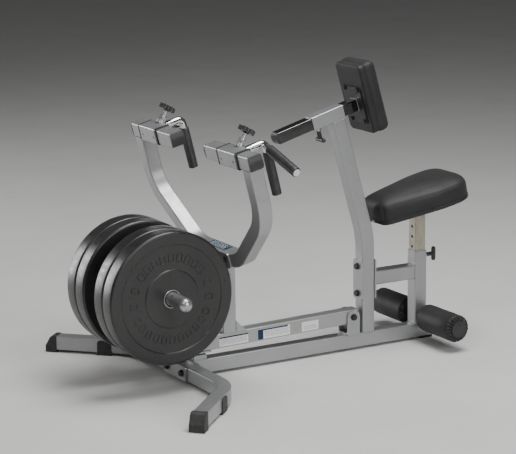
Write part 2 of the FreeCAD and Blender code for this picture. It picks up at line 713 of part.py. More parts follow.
def seat_pad(front):
    half_front = SEAT_WIDTHS[0] / 2
    half_rear = SEAT_WIDTHS[1] / 2
    outline = [(half_front, 0.0), (half_rear, SEAT_LENGTH * 0.62), (half_rear, SEAT_LENGTH),
               (-half_rear, SEAT_LENGTH), (-half_rear, SEAT_LENGTH * 0.62), (-half_front, 0.0)]
    corners = [at(front, (X, dx), (seat_way(), run)) for dx, run in outline]
    face = Part.Face(rounded_loop(corners, [38, 150, 72, 72, 150, 38]))
    block = face.extrude(seat_up() * SEAT_THICKNESS)
    level = at(front, (seat_up(), SEAT_THICKNESS - 0.5))
    crown = [edge for edge in block.Edges if (edge.CenterOfMass - level).dot(seat_up()) > 0]
    return block.makeFillet(20.0, crown)


# ---------------------------------------------------------------- chest support
def chest_point(run, rise=0.0, x=0.0):
    """Point on the chest slide: run from the sleeve's front end, rise above its centre line."""
    return at(CHEST_SLEEVE_FRONT, (slide_way(), run), (slide_up(), rise), (X, x))


def chest():
    wall = 3.0
    sleeve = beam(chest_point(0), chest_point(CHEST_SLEEVE_LENGTH), X, CHEST_SLEEVE_SIZE, CHEST_SLEEVE_SIZE, wall, 4)
    pin_run = 26.0
    down = slide_up() * -1
    hole = (chest_point(pin_run), down, 60, 5.5)
    add("chest_sleeve", drilled(sleeve, hole))
    boss_top = chest_point(pin_run, -CHEST_SLEEVE_SIZE / 2)
    chest_boss = ring(boss_top, down, 11, 11, 5 + RUN_GAP)
    seat_boss = ring(Vector(0, SEAT_POST_Y + TUBE / 2, SEAT_PIN_Z), Y, 10, 11, 5 + RUN_GAP)
    add("pin_bosses", chest_boss, seat_boss)

    size = CHEST_SLEEVE_SIZE - 2 * wall - 2 * SLIDE_GAP
    tube_front = chest_point(CHEST_TUBE_RANGE[0])
    tube_rear = chest_point(CHEST_TUBE_RANGE[1])
    holes = [(chest_point(pin_run + 30 * step), down, 60, 5.5) for step in range(-4, 4)]
    tube = drilled(beam(tube_front, tube_rear, X, size, size, WALL, 3.5), *holes)
    add("chest_tube", tube)
    add("chest_tube_cap", end_cap(tube_front, slide_way() * -1, X, size))

    carrier = 4.0
    spots = [(sx * 40, rise) for sx in (-1, 1) for rise in (-58, 58)]
    bolt_at = [chest_point(CHEST_TUBE_RANGE[1], rise, dx) for dx, rise in spots]
    board = plate(tube_rear, slide_way(), X, 108, 134, carrier, 8)
    board = drilled(board, *[(at(p, (slide_way(), -20)), slide_way(), 60, 4.2) for p in bolt_at])
    add("chest_plate", board)
    width, height, thickness = CHEST_PAD
    pad_face = chest_point(CHEST_TUBE_RANGE[1] + carrier + 0.2, CHEST_PAD_RISE)
    pad = beam(pad_face, at(pad_face, (slide_way(), thickness)), X, width, height, 0, 16)
    far = at(pad_face, (slide_way(), thickness - 0.5))
    crown = [edge for edge in pad.Edges if (edge.CenterOfMass - far).dot(slide_way()) > 0]
    pad = pad.makeFillet(14.0, crown)
    for point in bolt_at:
        add("chest_bolts", bolt_set(point, slide_way(), carrier + 12, 8, nut=False))
        pad = pad.cut(rod(at(point, (slide_way(), -5)), slide_way(), carrier + 22, 4.2))
    add("chest_pad", pad)

    add("chest_pin", t_handle(boss_top, down, X, wall))
    add("seat_pin", t_handle(Vector(0, SEAT_POST_Y + TUBE / 2, SEAT_PIN_Z), Y, Z, 3.0))


def t_handle(face, way, bar_way, wall):
    """Pull pin with a T-shaped handle; its tip stops inside the wall of the outer tube."""
    reach = 46.0
    stem_start = 11.2
    half = 26.0
    radius = 8.0
    pin = rod(at(face, (way, 0.2 - wall)), way, reach + wall, 5)
    stem = rod(at(face, (way, stem_start)), way, reach - stem_start, 7.5)
    bar = rod(at(face, (way, reach), (bar_way, radius - half)), bar_way, 2 * (half - radius), radius)
    ends = [Part.makeSphere(radius, at(face, (way, reach), (bar_way, s * (half - radius)))) for s in (-1, 1)]
    return fused(pin, stem, bar, *ends)


# ---------------------------------------------------------------- ankle rollers
def rollers():
    bar_radius = 12.7
    end_x = ROLLER_X[1] + 2
    add("roller_bar", ring(Vector(-end_x, ROLLER_Y, ROLLER_Z), X, 2 * end_x, bar_radius, bar_radius - 2.5))
    low, high = ROLLER_X
    foam = rod(Vector(low, ROLLER_Y, ROLLER_Z), X, high - low, ROLLER_RADIUS)
    rims = [edge for edge in foam.Edges if edge.Length > 2 * math.pi * ROLLER_RADIUS - 1
            and abs(edge.Curve.Radius - ROLLER_RADIUS) < 0.1]
    foam = foam.makeFillet(13.0, rims)
    foam = drilled(foam, (Vector(0, ROLLER_Y, ROLLER_Z), X, 400, bar_radius + 0.3))
    both("roller", foam)
    disc_at = Vector(high + 0.4, ROLLER_Y, ROLLER_Z)
    disc = ring(disc_at, X, end_x - high - 0.4, 30, bar_radius + RUN_GAP)
    face = rod(Vector(end_x, ROLLER_Y, ROLLER_Z), X, 4, 30)
    plug = rod(Vector(end_x - 14, ROLLER_Y, ROLLER_Z), X, 14, bar_radius - 2.6)
    cap = fused(disc, face, plug)
    add("roller_caps", cap, mirrored(cap))


# ---------------------------------------------------------------- weight plates
def weight_plate(inner_x):
    """Rubber plate with a stepped face and a steel bush; its hub is flush with the rim."""
    bush_radius = 31.0
    rim_inner = 186.5
    recess = 3.2
    face_profile = [(bush_radius, 0), (97, 0), (101, recess), (182, recess), (rim_inner, 0),
                    (PLATE_RADIUS - 8, 0), (PLATE_RADIUS, 8)]
    lower = [(inner_x + depth, radius) for radius, depth in face_profile]
    upper = [(inner_x + PLATE_THICKNESS - depth, radius) for radius, depth in reversed(face_profile)]
    points = [Vector(x, HORN_Y, HORN_Z + radius) for x, radius in lower + upper]
    loop = Part.Face(Part.makePolygon(points + [points[0]]))
    disc = loop.revolve(Vector(0, HORN_Y, HORN_Z), X, 360).Solids[0]
    bush = ring(Vector(inner_x + 1, HORN_Y, HORN_Z), X, PLATE_THICKNESS - 2, bush_radius, HORN_RADIUS + 0.8)
    return disc, bush


def weight_plates():
    pitch = PLATE_THICKNESS + PLATE_GAP
    for number, name in enumerate(("inner", "outer")):
        disc, bush = weight_plate(PLATE_INNER_X + number * pitch)
        for side, shapes in (("left", (disc, bush)), ("right", (mirrored(disc), mirrored(bush)))):
            add("plate_%s_%s" % (side, name), shapes[0])
            add("plate_bush_%s_%s" % (side, name), shapes[1])


# ---------------------------------------------------------------- assembly
def build():
    base()
    pivot()
    rest()
    lever()
    horns()
    yoke()
    heads()
    handles()
    upright()
    seat()
    chest()
    rollers()
    weight_plates()


def bounds():
    box = FreeCAD.BoundBox()
    for solids in PARTS.values():
        for member in solids:
            box.add(member.BoundBox)
    return box


def write_all():
    """Centre the machine along Y, then write one STEP file per node."""
    os.makedirs("parts", exist_ok=True)
    box = bounds()
    shift = Vector(0, -(box.YMin + box.YMax) / 2, 0)
    for node, solids in PARTS.items():
        moved = []
        for member in solids:
            copy = member.copy()
            copy.translate(shift)
            moved.append(copy)
        shape = moved[0] if len(moved) == 1 else Part.makeCompound(moved)
        shape.exportStep("parts/%s.step" % node)
    return shift


build()
SHIFT = write_all()
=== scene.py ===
"""Looks of the plate-loaded lever row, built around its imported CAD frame.

Everything is in metres and in the CAD frame: +X is the seated user's left, +Y runs from the
weight plates towards the seat, +Z is up and the floor is z = 0.
"""
import json
import math
import random

import bmesh
import bpy
from mathutils import Matrix, Vector, noise

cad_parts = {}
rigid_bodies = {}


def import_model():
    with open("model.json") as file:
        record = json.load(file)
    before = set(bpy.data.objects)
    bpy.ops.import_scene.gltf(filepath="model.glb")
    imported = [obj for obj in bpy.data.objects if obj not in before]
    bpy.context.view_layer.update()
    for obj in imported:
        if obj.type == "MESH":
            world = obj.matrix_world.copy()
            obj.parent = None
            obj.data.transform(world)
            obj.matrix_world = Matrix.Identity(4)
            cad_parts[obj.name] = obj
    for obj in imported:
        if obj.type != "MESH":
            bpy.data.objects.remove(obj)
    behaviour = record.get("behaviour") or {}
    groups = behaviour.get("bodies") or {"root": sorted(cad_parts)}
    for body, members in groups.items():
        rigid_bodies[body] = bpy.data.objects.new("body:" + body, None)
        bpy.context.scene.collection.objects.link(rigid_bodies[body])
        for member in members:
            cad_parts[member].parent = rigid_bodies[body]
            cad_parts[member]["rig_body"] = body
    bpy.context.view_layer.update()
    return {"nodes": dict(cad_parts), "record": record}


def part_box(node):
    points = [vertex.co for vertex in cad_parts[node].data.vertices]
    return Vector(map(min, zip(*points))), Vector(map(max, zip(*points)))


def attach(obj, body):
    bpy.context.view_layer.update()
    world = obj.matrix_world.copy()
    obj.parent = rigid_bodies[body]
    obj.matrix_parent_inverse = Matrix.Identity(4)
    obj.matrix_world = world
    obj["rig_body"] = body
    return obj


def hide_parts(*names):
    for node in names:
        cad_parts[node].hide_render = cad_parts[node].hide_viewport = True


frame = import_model()
NODES = frame["nodes"]
MM = 0.001

X = Vector((1, 0, 0))
Y = Vector((0, 1, 0))
Z = Vector((0, 0, 1))


# -------- places read from the frame
def tilted(degrees):
    """(along, up) of a part leaning in the YZ plane; along rises towards +Y by this angle."""
    angle = math.radians(degrees)
    return Vector((0, math.cos(angle), math.sin(angle))), Vector((0, -math.sin(angle), math.cos(angle)))


def span(node, way):
    """Lowest and highest reach of a CAD node along a direction."""
    reach = [v.co.dot(way) for v in NODES[node].data.vertices]
    return min(reach), max(reach)


def middle(node):
    """Centre of a CAD node's box."""
    low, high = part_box(node)
    return (low + high) / 2


def sideways(node):
    """Nearest and farthest reach of a CAD node from the middle plane."""
    low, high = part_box(node)
    return min(abs(low.x), abs(high.x)), max(abs(low.x), abs(high.x))


def average(points):
    return sum(points, Vector()) / len(points)


def turns_round(count):
    """Angles of count points evenly spaced round a circle."""
    return [2 * math.pi * k / count for k in range(count)]


def quarter_turns(steps):
    return [math.pi / 2 * k / steps for k in range(steps + 1)]


HEAD_REAR, HEAD_UP = tilted(13.9)  # plane of the yoke and of the handle heads
SLIDE_WAY, SLIDE_UP = tilted(15.7)  # chest slide
SEAT_WAY, SEAT_UP = tilted(12.4)  # seat pad
LEVER_SLOPE = 0.02  # rise of the lever tube towards +Y, per metre
TUBE = 50 * MM
HALF = TUBE / 2
TUBE_CORNER = 4 * MM
HORN = middle("plate_left_inner")  # the weight horns' axis in the middle plane
HORN.x = 0


# -------- mesh building
SHARP_EDGE = math.radians(38)  # edges bent more than this are shaded sharp
TUBE_SIDES = 8  # of beads and piping


class Build:
    """Collects the vertices and faces of one piece."""

    def __init__(self):
        self.points = []
        self.faces = []
        self.slots = []

    def add(self, points, faces, slot=0):
        """Take in points, and faces that share a material slot."""
        base = len(self.points)
        self.points.extend(points)
        self.faces.extend([tuple(base + i for i in face) for face in faces])
        self.slots.extend([slot] * len(faces))

    def grid(self, rings, closed_path=False, caps=True, slot=0):
        """Skin a list of equal rings of points."""
        count = len(rings[0])
        points = [p for ring in rings for p in ring]
        faces = []
        steps = len(rings) if closed_path else len(rings) - 1
        for i in range(steps):
            for j in range(count):
                a = i * count + j
                b = i * count + (j + 1) % count
                c = ((i + 1) % len(rings)) * count + (j + 1) % count
                d = ((i + 1) % len(rings)) * count + j
                faces.append((a, b, c, d))
        if caps and not closed_path:
            faces.append(tuple(reversed(range(count))))
            faces.append(tuple(range((len(rings) - 1) * count, len(rings) * count)))
        self.add(points, faces, slot)

    def tube(self, path, radius):
        """Round tube along a closed path; radius is a number or a function of the point's index."""
        rings = []
        side = None
        for i, point in enumerate(path):
            way = (path[(i + 1) % len(path)] - path[i - 1]).normalized()
            if side is None:
                side = way.orthogonal().normalized()
            side = (side - way * side.dot(way)).normalized()
            other = way.cross(side)
            size = radius(i) if callable(radius) else radius
            rings.append([point + (side * math.cos(t) + other * math.sin(t)) * size
                          for t in turns_round(TUBE_SIDES)])
        self.grid(rings, closed_path=True)

    def lathe(self, centre, way, profile, segments=96, closed=False, dent=None):
        """Turn a profile of (along, radius) points about way.

        dent(along, radius, turn) moves a point inwards, square to the profile.
        """
        side = way.orthogonal().normalized()
        other = way.cross(side)
        rings = []
        count = len(profile)
        for i, (along, radius) in enumerate(profile):
            before = profile[i - 1] if i or closed else profile[i]
            after = profile[(i + 1) % count] if i < count - 1 or closed else profile[i]
            slope = Vector((after[0] - before[0], after[1] - before[1]))
            slope = slope.normalized() if slope.length > 1e-9 else Vector((1, 0))
            ring = []
            for turn in turns_round(segments):
                out = side * math.cos(turn) + other * math.sin(turn)
                depth = dent(along, radius, turn) if dent else 0.0
                ring.append(centre + way * (along + slope.y * depth) + out * (radius - slope.x * depth))
            rings.append(ring)
        self.grid(rings, closed_path=closed, caps=not closed)

    def slab(self, outline, normal, thickness, slot=0):
        """Extrude a closed outline of points along normal, with a slightly smaller face."""
        centre = average(outline)
        inner = [p + (centre - p).normalized() * min(0.3 * thickness, 0.3 * MM) for p in outline]
        rings = [outline, [p + normal * (0.7 * thickness) for p in outline],
                 [p + normal * thickness for p in inner]]
        self.grid(rings, slot=slot)

    def object(self, name, body, materials, smooth=True):
        """Turn what was collected into an object that rides on a body, if one is given."""
        mesh = bpy.data.meshes.new(name)
        mesh.from_pydata(self.points, [], self.faces)
        for polygon, slot in zip(mesh.polygons, self.slots):
            polygon.use_smooth = smooth
            polygon.material_index = slot
        mesh.validate()
        working = bmesh.new()
        working.from_mesh(mesh)
        bmesh.ops.recalc_face_normals(working, faces=working.faces)
        working.to_mesh(mesh)
        working.free()
        obj = bpy.data.objects.new(name, mesh)
        bpy.context.scene.collection.objects.link(obj)
        for material in materials:
            obj.data.materials.append(material)
        if smooth:
            mesh.set_sharp_from_angle(angle=SHARP_EDGE)
        if body:
            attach(obj, body)
        return obj


def rounded_path(corners, radius, step):
    """Points about step apart along a closed polygon; radius is one number or one for each corner."""
    path = []
    count = len(corners)
    for i in range(count):
        before = (corners[i - 1] - corners[i]).normalized()
        after = (corners[(i + 1) % count] - corners[i]).normalized()
        size = radius[i] if isinstance(radius, list) else radius
        half = before.angle(after) / 2
        tangent = size / math.tan(half)
        inward = (before + after).normalized()
        centre = corners[i] + inward * (size / math.sin(half))
        start = corners[i] + before * tangent - centre
        end = corners[i] + after * tangent - centre
        turn = start.angle(end)
        pieces = max(2, int(size * turn / step))
        for k in range(pieces + 1):
            share = k / pieces
            arc = start * math.sin((1 - share) * turn) + end * math.sin(share * turn)
            path.append(centre + arc / math.sin(turn))
    return resampled(path, step)


def resampled(path, step):
    """The same closed path with points evenly spaced."""
    loop = path + [path[0]]
    lengths = [(b - a).length for a, b in zip(loop, loop[1:])]
    total = sum(lengths)
    count = max(8, int(total / step))
    result = []
    index = 0
    walked = 0.0
    for k in range(count):
        target = total * k / count
        while walked + lengths[index] < target:
            walked += lengths[index]
            index += 1
        share = (target - walked) / lengths[index]
        result.append(loop[index].lerp(loop[index + 1], share))
    return result


def rectangle(centre, across, along, width, depth):
    return [centre + across * (sx * width / 2) + along * (sy * depth / 2)
            for sx, sy in ((1, -1), (1, 1), (-1, 1), (-1, -1))]


def circle(centre, normal, radius, step):
    side = normal.orthogonal().normalized()
    other = normal.cross(side)
    count = max(12, int(2 * math.pi * radius / step))
    return [centre + (side * math.cos(t) + other * math.sin(t)) * radius for t in turns_round(count)]


# -------- materials
class Look:
    """A Principled material in the making; its textures lie in object coordinates."""

    def __init__(self, name, color, **sockets):
        """Keyword names are the shader's sockets, with underscores for blanks."""
        self.material = bpy.data.materials.new(name)
        self.material.use_nodes = True
        self.tree = self.material.node_tree
        self.principled = self.tree.nodes["Principled BSDF"]
        self.principled.inputs["Base Color"].default_value = (*color, 1)
        for socket, value in sockets.items():
            self.principled.inputs[socket.replace("_", " ")].default_value = value
        self.where = self.place((1, 1, 1))

    def node(self, kind, **inputs):
        """A new shader node; each input is a value or another node's output."""
        node = self.tree.nodes.new("ShaderNode" + kind)
        for name, value in inputs.items():
            socket = node.inputs[name.replace("_", " ")]
            if isinstance(value, bpy.types.NodeSocket):
                self.tree.links.new(value, socket)
            else:
                socket.default_value = value
        return node

    def place(self, stretch):
        coordinate = self.node("TexCoord").outputs["Object"]
        return self.node("Mapping", Vector=coordinate, Scale=stretch).outputs["Vector"]

    def cloud(self, scale, detail=4.0, roughness=0.55, stretch=None):
        """Soft noise, stretched if asked."""
        where = self.place(stretch) if stretch else self.where
        node = self.node("TexNoise", Vector=where, Scale=scale, Detail=detail, Roughness=roughness)
        return node.outputs["Fac"]

    def cells(self, scale, feature="F1", output="Distance"):
        node = self.node("TexVoronoi", Vector=self.where, Scale=scale)
        node.feature = feature
        return node.outputs[output]

    def ramp(self, value, *stops):
        """Colour ramp through two (position, rgb) stops."""
        node = self.node("ValToRGB", Fac=value)
        for element, (position, color) in zip(node.color_ramp.elements, stops):
            element.position = position
            element.color = (*color, 1)
        return node.outputs["Color"]

    def remap(self, value, low, high):
        """Spread the usual range of a noise from low to high."""
        node = self.node("MapRange", Value=value, From_Min=0.3, From_Max=0.7, To_Min=low, To_Max=high)
        return node.outputs["Result"]

    def mixed(self, under, over, share, blend):
        node = self.node("Mix")
        node.data_type = "RGBA"
        node.blend_type = blend
        factor, colors = node.inputs[0], node.inputs[6:8]
        factor.default_value = share
        self.tree.links.new(under, colors[0])
        self.tree.links.new(over, colors[1])
        return node.outputs[2]

    def bump(self, height, distance, strength, under=None):
        """Normal roughened by a height, over another normal if given."""
        node = self.node("Bump", Height=height, Distance=distance, Strength=strength)
        if under is not None:
            self.tree.links.new(under, node.inputs["Normal"])
        return node.outputs["Normal"]

    def done(self, color, roughness=None, normal=None):
        """Connect what was made to the shader and give back the material."""
        for socket, value in (("Base Color", color), ("Roughness", roughness), ("Normal", normal)):
            if value is not None:
                self.tree.links.new(value, self.principled.inputs[socket])
        return self.material


def silver_paint():
    """Satin silver-grey powder coat with fine metal flake and a faint orange peel."""
    look = Look("silver_paint", (0.36, 0.365, 0.37), Metallic=0.7, Coat_Weight=0.10, Coat_Roughness=0.25)
    broad = look.cloud(9, 3)
    flake = look.cells(2600, output="Color")
    base = look.ramp(broad, (0.25, (0.36, 0.365, 0.37)), (0.75, (0.415, 0.42, 0.425)))
    color = look.mixed(base, flake, 0.045, "SOFT_LIGHT")
    peel = look.cloud(520, 2)
    normal = look.bump(peel, 0.06 * MM, 0.35)
    return look.done(color, look.remap(look.cloud(28, 5), 0.33, 0.43), normal)


def black_steel():
    """Black oxide and painted hardware, worn a little lighter in patches."""
    look = Look("black_steel", (0.03, 0.03, 0.032), Metallic=0.3)
    wear = look.cloud(160, 6, 0.65)
    color = look.ramp(wear, (0.42, (0.018, 0.018, 0.019)), (0.78, (0.060, 0.060, 0.063)))
    normal = look.bump(look.cloud(900, 3), 0.05 * MM, 0.5)
    return look.done(color, look.remap(wear, 0.34, 0.52), normal)


def black_plastic():
    """Moulded plastic with a fine spark-eroded texture."""
    look = Look("black_plastic", (0.02, 0.02, 0.021), Specular_IOR_Level=0.5)
    tone = look.cloud(45, 4)
    color = look.ramp(tone, (0.3, (0.017, 0.017, 0.018)), (0.75, (0.036, 0.036, 0.038)))
    grain = look.cells(1300, "SMOOTH_F1")
    normal = look.bump(grain, 0.09 * MM, 0.45)
    return look.done(color, look.remap(tone, 0.36, 0.50), normal)


def black_rubber():
    """Matt rubber of the feet and the bumper, slightly dusty."""
    look = Look("soft_rubber", (0.03, 0.03, 0.03))
    dust = look.cloud(70, 6, 0.7)
    color = look.ramp(dust, (0.35, (0.018, 0.018, 0.018)), (0.8, (0.062, 0.060, 0.057)))
    normal = look.bump(look.cloud(700, 4), 0.12 * MM, 0.5)
    return look.done(color, look.remap(dust, 0.52, 0.72), normal)


def grip_rubber():
    """Smooth slightly glossy grip rubber with fine moulding specks."""
    look = Look("grip_rubber", (0.022, 0.022, 0.023), Specular_IOR_Level=0.55)
    tone = look.cloud(60, 5)
    color = look.ramp(tone, (0.3, (0.024, 0.024, 0.025)), (0.78, (0.050, 0.050, 0.052)))
    normal = look.bump(look.cells(900, "SMOOTH_F1"), 0.10 * MM, 0.3)
    return look.done(color, look.remap(tone, 0.30, 0.44), normal)


def plate_rubber():
    """Charcoal bumper-plate rubber: crumb specks, faint mould swirl, semi-gloss."""
    look = Look("plate_rubber", (0.03, 0.03, 0.03), Specular_IOR_Level=0.6)
    broad = look.cloud(7, 4)
    crumbs = look.cloud(420, 3, 0.6)
    base = look.ramp(broad, (0.3, (0.014, 0.014, 0.014)), (0.72, (0.024, 0.024, 0.0235)))
    specks = look.ramp(crumbs, (0.60, (0.5, 0.5, 0.5)), (0.74, (0.62, 0.62, 0.61)))
    color = look.mixed(base, specks, 0.6, "OVERLAY")
    streaks = look.cloud(55, 6, 0.65, stretch=(0.5, 1, 1))
    normal = look.bump(crumbs, 0.10 * MM, 0.25)
    normal = look.bump(streaks, 0.25 * MM, 0.12, normal)
    return look.done(color, look.remap(streaks, 0.25, 0.41), normal)


def chrome():
    """Bright chrome with faint handling smudges."""
    look = Look("chrome", (0.78, 0.78, 0.79), Metallic=1.0)
    smudge = look.cloud(38, 5, 0.6)
    color = look.ramp(smudge, (0.3, (0.70, 0.70, 0.71)), (0.7, (0.84, 0.84, 0.85)))
    normal = look.bump(look.cloud(300, 2), 0.02 * MM, 0.25)
    return look.done(color, look.remap(smudge, 0.07, 0.20), normal)


def bright_steel():
    """Turned and plated steel: fine lines round the X axis."""
    look = Look("bright_steel", (0.6, 0.6, 0.6), Metallic=0.8)
    lines = look.cloud(14, 2, 0.5, stretch=(6, 1, 1))
    tone = look.cloud(30, 4)
    color = look.ramp(tone, (0.3, (0.40, 0.40, 0.402)), (0.72, (0.50, 0.50, 0.502)))
    return look.done(color, look.remap(lines, 0.26, 0.36), look.bump(lines, 0.02 * MM, 0.15))


def zinc_steel():
    """Dull, faintly yellow zinc on the seat post, with rubbed streaks along it."""
    look = Look("zinc_steel", (0.5, 0.46, 0.39), Metallic=0.55)
    rubbed = look.cloud(130, 6, 0.7, stretch=(1, 1, 0.12))
    broad = look.cloud(24, 4)
    base = look.ramp(broad, (0.3, (0.38, 0.345, 0.28)), (0.72, (0.50, 0.465, 0.39)))
    streaks = look.ramp(rubbed, (0.35, (0.36, 0.35, 0.33)), (0.7, (0.60, 0.59, 0.57)))
    color = look.mixed(base, streaks, 0.45, "OVERLAY")
    return look.done(color, look.remap(rubbed, 0.36, 0.55), look.bump(rubbed, 0.05 * MM, 0.4))


def black_chrome():
    """Deep glossy black plating on the sliding chest tube."""
    look = Look("black_chrome", (0.14, 0.14, 0.142), Metallic=1.0)
    rubbed = look.cloud(150, 5, 0.65, stretch=(1, 0.1, 0.4))
    color = look.ramp(rubbed, (0.40, (0.11, 0.11, 0.112)), (0.85, (0.17, 0.168, 0.165)))
    normal = look.bump(look.cloud(60, 2), 0.05 * MM, 0.15)
    return look.done(color, look.remap(rubbed, 0.09, 0.20), normal)


def black_vinyl():
    """Upholstery vinyl with a fine pebbled grain; the pebble tops are painted lighter and the valleys
    between them darker, as painted highlight and painted shade.
    """
    look = Look("black_vinyl", (0.02, 0.02, 0.021), Specular_IOR_Level=0.38,
                Sheen_Weight=0.05, Sheen_Roughness=0.5)
    broad = look.cloud(14, 4)
    pebble = look.cells(950, "SMOOTH_F1")
    crease = look.cloud(260, 5, 0.6)
    base = look.ramp(broad, (0.3, (0.012, 0.012, 0.0125)), (0.75, (0.020, 0.020, 0.021)))
    # painted highlight on the raised pebble tops and painted shade in the valleys between them
    pebble_light_and_shade = look.ramp(pebble, (0.15, (0.62, 0.62, 0.62)), (0.6, (0.42, 0.42, 0.42)))
    color = look.mixed(base, pebble_light_and_shade, 0.35, "OVERLAY")
    normal = look.bump(pebble, 0.16 * MM, -0.55)
    normal = look.bump(crease, 0.20 * MM, 0.25, normal)
    return look.done(color, look.remap(crease, 0.50, 0.64), normal)


def weld_metal():
    """Weld bead under the paint: the same silver, rougher and a little darker."""
    look = Look("weld_metal", (0.3, 0.3, 0.305), Metallic=0.55)
    tone = look.cloud(300, 5, 0.6)
    color = look.ramp(tone, (0.3, (0.26, 0.265, 0.27)), (0.75, (0.40, 0.405, 0.41)))
    return look.done(color, look.remap(tone, 0.36, 0.52), look.bump(tone, 0.1 * MM, 0.4))


def printed(name, dark, light):
    """Printed label film."""
    look = Look(name, light, Specular_IOR_Level=0.12)
    tone = look.cloud(130, 5, 0.6)
    color = look.ramp(tone, (0.3, dark), (0.7, light))
    return look.done(color, look.remap(tone, 0.50, 0.62), look.bump(tone, 0.03 * MM, 0.3))


# one for each slot of the record
SLOTS = (silver_paint, black_plastic, black_rubber, grip_rubber, plate_rubber, black_steel, chrome,
         bright_steel, zinc_steel, black_chrome, black_vinyl)
MATERIALS = {make.__name__: make() for make in SLOTS}
WELD = weld_metal()
PAPER = printed("label_white", (0.80, 0.80, 0.79), (0.90, 0.90, 0.895))
INK = printed("label_blue", (0.014, 0.034, 0.060), (0.026, 0.052, 0.084))
GREY_INK = printed("label_grey", (0.30, 0.30, 0.30), (0.38, 0.38, 0.38))
GOLD_INK = printed("label_gold", (0.36, 0.29, 0.17), (0.46, 0.38, 0.24))


def dress_frame():
    """Give every CAD node the material of its slot in the record."""
    for part in frame["record"]["subparts"]:
        node = NODES[part["node"]]
        node.data.materials.clear()
        node.data.materials.append(MATERIALS[part["material_slot"]])


# -------- soft pieces
FRAMES = 20  # length of the cloth simulation
PRESSURE = 4.0  # of the foam against the cover
EVENING = 14  # rounds of averaging of the lifts
STUD_AT = Vector((5 * MM, 0, 0))  # stud on the seat's front end
PLEATS = 20  # gathered round each end of a roller cover
PLEAT_DEPTH = 6 * MM
PLEAT_BAND = 8 * MM  # half width of the ring of pleats
PLEAT_FADE = 12 * MM  # how far along the roller they reach
ROLLER_LIP = 31 * MM  # radius of the flat end face
ROLLER_BORE = 13.2 * MM
ROLLER_SEGMENTS = 352  # fine enough for the pleats
BARREL_STEPS = 26  # along the plain middle of a roller


def baked(obj):
    """Replace the mesh with the result of its modifiers."""
    graph = bpy.context.evaluated_depsgraph_get()
    mesh = bpy.data.meshes.new_from_object(obj.evaluated_get(graph))
    obj.modifiers.clear()
    obj.data = mesh
    for polygon in mesh.polygons:
        polygon.use_smooth = True


def remeshed(obj, voxel):
    """Even mesh of faces about voxel wide."""
    modifier = obj.modifiers.new("even", "REMESH")
    modifier.mode = "VOXEL"
    modifier.voxel_size = voxel
    baked(obj)


def puffed(obj, held, cap):
    """Blow the cover up by cloth simulation; points for which held(co) is true stay.

    The foam core keeps the cover from sinking, so only the way outwards is kept, up to cap.
    """
    mesh = obj.data
    group = obj.vertex_groups.new(name="held")
    group.add([v.index for v in mesh.vertices if held(v.co)], 1.0, "REPLACE")
    modifier = obj.modifiers.new("cover", "CLOTH")
    settings = modifier.settings
    settings.quality = 6
    settings.mass = 0.3
    settings.tension_stiffness = 40
    settings.compression_stiffness = 40
    settings.shear_stiffness = 20
    settings.bending_stiffness = 2.0
    settings.use_pressure = True
    settings.uniform_pressure_force = PRESSURE
    settings.vertex_group_mass = "held"
    settings.effector_weights.gravity = 0
    modifier.point_cache.frame_start = 1
    modifier.point_cache.frame_end = FRAMES
    scene = bpy.context.scene
    for number in range(1, FRAMES + 1):
        scene.frame_set(number)
    graph = bpy.context.evaluated_depsgraph_get()
    blown = [v.co.copy() for v in obj.evaluated_get(graph).data.vertices]
    obj.modifiers.clear()
    ways = [v.normal.copy() for v in mesh.vertices]
    lifts = [(new - v.co).dot(way) for v, way, new in zip(mesh.vertices, ways, blown)]
    lifts = evened(mesh, [min(max(lift, 0.0), cap) for lift in lifts], EVENING)
    for vertex, way, lift in zip(mesh.vertices, ways, lifts):
        vertex.co += way * lift
    scene.frame_set(1)
    obj.vertex_groups.clear()


def evened(mesh, values, rounds):
    """Average values with those of their neighbours on the mesh, rounds times over."""
    edges = [tuple(edge.vertices) for edge in mesh.edges]
    for _ in range(rounds):
        totals = list(values)
        counts = [1] * len(values)
        for a, b in edges:
            totals[a] += values[b]
            totals[b] += values[a]
            counts[a] += 1
            counts[b] += 1
        values = [total / count for total, count in zip(totals, counts)]
    return values


def smoothed(obj):
    """Relax the mesh and make it finer."""
    relax = obj.modifiers.new("relax", "SMOOTH")
    relax.iterations = 2
    relax.factor = 0.5
    finer = obj.modifiers.new("finer", "SUBSURF")
    finer.levels = 1
    baked(obj)


def bell(away, width):
    """1 at no distance, falling smoothly to almost nothing beyond twice the width."""
    return math.exp(-(away / width) ** 2)


class Pad:
    """An upholstered pad: its outline lies in a plane and it is built up along depth."""

    def __init__(self, centre, across, along, depth, outline, core):
        self.centre, self.across, self.along, self.depth = centre, across, along, depth
        self.outline = outline
        self.core = core

    def point(self, spot, share, height):
        """A point of the outline, drawn towards the core line, at a height above the board."""
        low, high = self.core
        anchor = Vector((0, min(max(spot.y, low), high), 0))
        flat = anchor.lerp(Vector((spot.x, spot.y, 0)), share)
        return self.centre + self.across * flat.x + self.along * flat.y + self.depth * height

    def ring(self, share, height):
        """The whole outline at a share and a height."""
        return [self.point(spot, share, height) for spot in self.outline]

    def local(self, co):
        """Distances of a point from the centre across, along and above the board."""
        away = co - self.centre
        return away.dot(self.across), away.dot(self.along), away.dot(self.depth)


